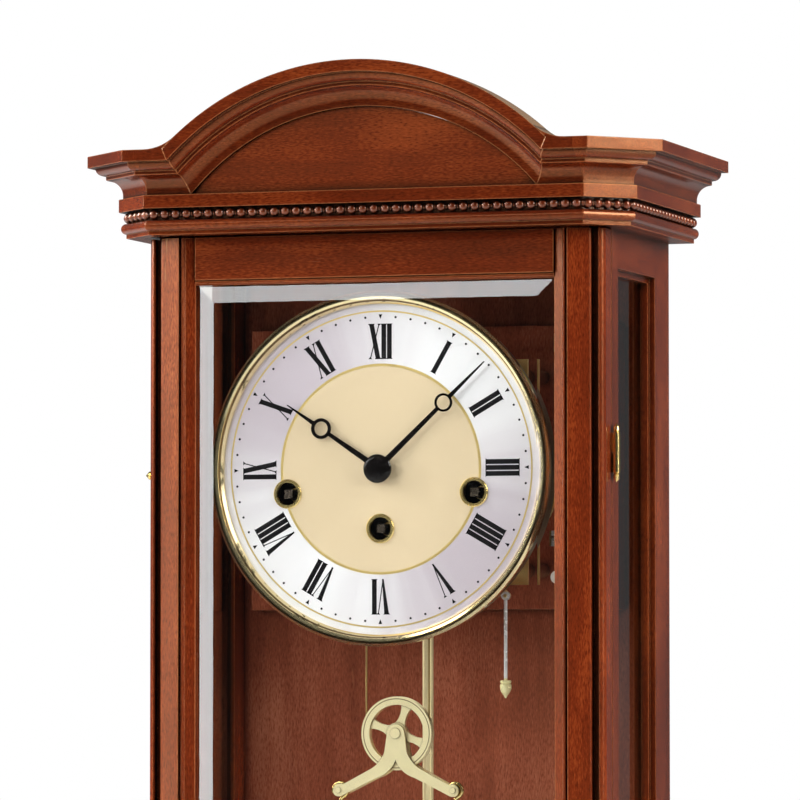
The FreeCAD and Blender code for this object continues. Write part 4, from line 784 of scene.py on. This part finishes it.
def dress_all():
    up = lacquered_wood("wood_upright", grain_up)
    across = lacquered_wood("wood_across", grain_across)
    moulded = {"stains": SHADED_CASE_STAINS, "crease": (0.012, 0.42, 0.98), "rough": 0.23, "wear": 0.7}
    round_front = lacquered_wood("wood_moulding", grain_round, **moulded)
    brass = polished_brass("polished_brass")
    pale = (1.0, 0.87, 0.51)
    satin = polished_brass("satin_brass", pale, 0.34, painted_crease_shade=True, metallic=0.75)
    dress(["door_left_stile", "door_right_stile"], up)
    back = lacquered_wood("wood_back", grain_up, stains=BACK_STAINS_AND_PAINTED_VEIL, wear=0.0)
    dress(["back_board", "movement_board"], back)
    dress(["door_top_rail", "door_bottom_rail", "tympanum", "glazing_beads"], across)
    dress(["crown_arch"], lacquered_wood("wood_arch", grain_across, bare_top=True, **moulded))
    dress(["crown_returns"], lacquered_wood("wood_crown", grain_round, bare_top=True, **moulded))
    side = lacquered_wood("wood_side", grain_of_side, stains=SHADED_CASE_STAINS, wear=0.3)
    dress(["left_side_frame", "right_side_frame"], side)
    dress(["cornice_board", "cornice_torus", "cornice_frieze"], round_front)
    dress(["base_board", "base_moulding", "plinth"], round_front)
    dress(["door_glass"], bevelled_glass())
    dress(["side_glasses"], thin_glass())
    dress(["case_hinge_leaves", "door_hinge_leaves", "door_knob", "winding_grommets"], brass)
    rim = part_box("bezel")[1].x - DIAL_X
    bezel_painted_stripes = [(rim - 1.9 * MM, 1.3 * MM), (rim - 4.6 * MM, 0.9 * MM)]
    centre = (DIAL_X, DIAL_Z)
    bezel = polished_brass("bezel_brass", (1.0, 0.84, 0.48), 0.09, 0.03, centre, bezel_painted_stripes,
                           matt_behind=DIAL_FACE, metallic=0.95)
    dress(["bezel"], bezel)
    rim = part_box("pulley_wheel")[1].x - PULLEY_X
    wheel_painted_stripes = [(rim - 1.2 * MM, 0.5 * MM)]
    centre = (PULLEY_X, PULLEY_Z)
    wheel = polished_brass("wheel_brass", pale, 0.34, 0.12, centre, wheel_painted_stripes, True, metallic=0.75)
    dress(["pulley_wheel"], wheel)
    dress(["pulley_yoke", "rod_block", "pendulum_rod"], satin)
    dress(["left_weight", "right_weight", "pendulum_bob", "rating_nut"], brass)
    plate_colour = (0.95, 0.69, 0.28)
    plates = polished_brass("movement_brass", plate_colour, 0.28)
    dress(["back_plate", "front_plate", "suspension_cock", "pull_lever"], plates)
    dress(["centre_arbor", "minute_wheel", "hour_wheel"], plates)
    arbors = two_metals("arbor_steel_and_brass", (0.19, 0.15, 0.118), plate_colour, 1, ARBOR_STEEL_END)
    dress(["strike_barrel", "chime_barrel", "cable_drum"], arbors)
    dress(["dial_plate"], dial_metal())
    black = plain_metal("black_lacquer", (0.005, 0.004, 0.004), 0.05, metallic=0.0, shine=0.2, grit=0.02)
    dress(["hour_hand", "minute_hand", "hand_cap"], black)
    steel = plain_metal("bright_steel", (0.92, 0.91, 0.90), 0.26, metallic=0.8, speckle=0.08, grit=0.04)
    dress(["hanger_plate", "chime_rods"], steel)
    dark_steel = plain_metal("dark_steel", (0.50, 0.49, 0.47), 0.20, speckle=0.08, grit=0.04)
    dress(["movement_posts", "plate_pillars", "hammer_rail"], dark_steel)
    acorn_brass = (1.0, 0.92, 0.50)
    # The pull rod's steel, lifted to near white under a low metallic share: a painted reflection of the white
    # surroundings.
    rod_steel_and_painted_reflection = (0.98, 0.98, 0.98)
    pull = two_metals("pull_rod_and_acorn", acorn_brass, rod_steel_and_painted_reflection, 2, DIAL_Z - ACORN_DROP, 0.4, 0.08)
    dress(["pull_rod"], pull)
    hammer = plain_metal("hammer_plastic", (0.95, 0.92, 0.87), 0.25, metallic=0.0)
    dress(["hammer_1", "hammer_2", "hammer_3", "hammer_4"], hammer)
    pearl_moulding(lacquered_wood("wood_pearls", grain_round, gloss=0.7, stains=SHADED_CASE_STAINS, wear=0.0))
    ink = plain_metal("dial_ink", (0.006, 0.005, 0.006), 0.45, metallic=0.0, shine=0.08)
    numerals(ink)
    minute_track(ink)
    winding_sleeves(black)
    screw_heads(steel)
    dial_lines(polished_brass("dial_gold", (0.86, 0.64, 0.24), 0.30))
    weight_cable(stranded_cable())


# Stage, light and camera


def soft_box(name, place, target, width, height, power):
    """A rectangular studio lamp aimed at a point."""
    lamp = bpy.data.lights.new(name, "AREA")
    lamp.shape = "RECTANGLE"
    lamp.size = width
    lamp.size_y = height
    lamp.energy = power
    item = bpy.data.objects.new(name, lamp)
    bpy.context.scene.collection.objects.link(item)
    item.location = place
    aim = np.array(target) - np.array(place)
    flat = math.hypot(aim[0], aim[1])
    item.rotation_euler = (math.atan2(flat, -aim[2]), 0, math.atan2(aim[1], aim[0]) - math.pi / 2)


def floor_finish():
    """Pale matt floor that fades, as the camera sees it, into the white background; clear from below."""
    floor = Finish("pale_floor")
    x, y, z = floor.place()
    grain = floor.noise(floor.vector(x * 30, y * 30, z * 30))
    tint = floor.mix(grain, rgb(0.82, 0.82, 0.82), rgb(0.79, 0.79, 0.79))
    matt = floor.principled(Base_Color=tint, Roughness=0.7)
    white = floor.node("Emission", sockets={"Color": rgb(1.0, 1.0, 1.0), "Strength": 1.0})
    away = floor.step((x * x + y * y).root(), 0.25, 1.5)
    fade = away * floor.node("LightPath", out="Is Camera Ray")
    upper = floor.node("MixShader", sockets={0: fade, 1: matt, 2: white})
    under = floor.node("NewGeometry", out="Backfacing")
    clear = floor.node("BsdfTransparent")
    return floor.done(floor.node("MixShader", sockets={0: under, 1: upper, 2: clear}))


def studio_world():
    """White where the camera sees it, straight or through glass; a grey fill for all other rays.

    Mirrors show the white at an eighth of its strength, and only towards the back."""
    world = Finish("studio_world", "World")
    camera = world.node("LightPath", out="Is Camera Ray")
    glossy = world.node("LightPath", out="Is Glossy Ray")
    mirrors = world.node("LightPath", out="Glossy Depth")
    scatters = world.node("LightPath", out="Diffuse Depth")
    through = world.node("LightPath", out="Is Transmission Ray") * (mirrors.larger(scatters) < 0.5)
    heading = world.node("TexCoord", out="Generated")
    towards = world.node("SeparateXYZ", sockets={0: heading}, out=1)
    limits = {"Value": towards, "From Min": -0.1, "From Max": 0.3, "To Max": 0.12}
    mirrored = glossy * world.node("MapRange", sockets=limits)
    seen = camera.larger(through.larger(mirrored))
    white = world.node("Background", sockets={"Color": rgb(1, 1, 1), "Strength": 1.0})
    fill = world.node("Background", sockets={"Color": rgb(1, 1, 1), "Strength": 0.065 - 0.043 * glossy})
    return world.done(world.node("MixShader", sockets={0: seen, 1: fill, 2: white}))


def studio():
    """A pale round floor, a white world, three soft lamps, four strip lamps and the camera."""
    low = cad_box[0].z
    sides = 96
    reach = 2.5
    angle = np.linspace(0, 2 * np.pi, sides, endpoint=False)
    rim = np.stack([reach * np.cos(angle), reach * np.sin(angle), np.full(sides, low)], axis=-1)
    mesh = bpy.data.meshes.new("floor")
    mesh.from_pydata(rim.tolist(), [], [list(range(sides))])
    mesh.materials.append(floor_finish())
    floor = bpy.data.objects.new("floor", mesh)
    bpy.context.scene.collection.objects.link(floor)
    bpy.context.scene.world = studio_world()

    middle = (0, -0.1, -0.15)
    soft_box("left_lamp", (-2.0, -0.36, 0.75), middle, 0.9, 1.1, 72)
    soft_box("right_lamp", (1.95, -0.60, 0.85), middle, 0.9, 1.1, 53)
    soft_box("key_lamp", (-1.35, -1.45, 1.45), middle, 0.7, 0.7, 12.2)
    soft_box("left_strip", (-1.35, -1.85, 0.0), middle, 0.06, 1.3, 3.4)
    soft_box("stile_strip", (-1.68, -1.09, 0.0), middle, 0.016, 1.3, 5)
    soft_box("right_strip", (1.91, -0.58, -0.1), middle, 0.016, 1.3, 3.6)
    soft_box("top_strip", (-0.68, -2.1, 0.72), middle, 0.9, 0.15, 4.7)

    camera = bpy.data.cameras.new("camera")
    camera.lens = 260.1
    camera.sensor_width = 36
    view = bpy.data.objects.new("camera", camera)
    bpy.context.scene.collection.objects.link(view)
    view.location = (0.9188, -2.8921, -0.2104)
    view.rotation_euler = (math.radians(92.94), 0, math.radians(18.09))
    bpy.context.scene.camera = view
    bpy.context.scene.view_settings.view_transform = "Standard"


dress_all()
studio()
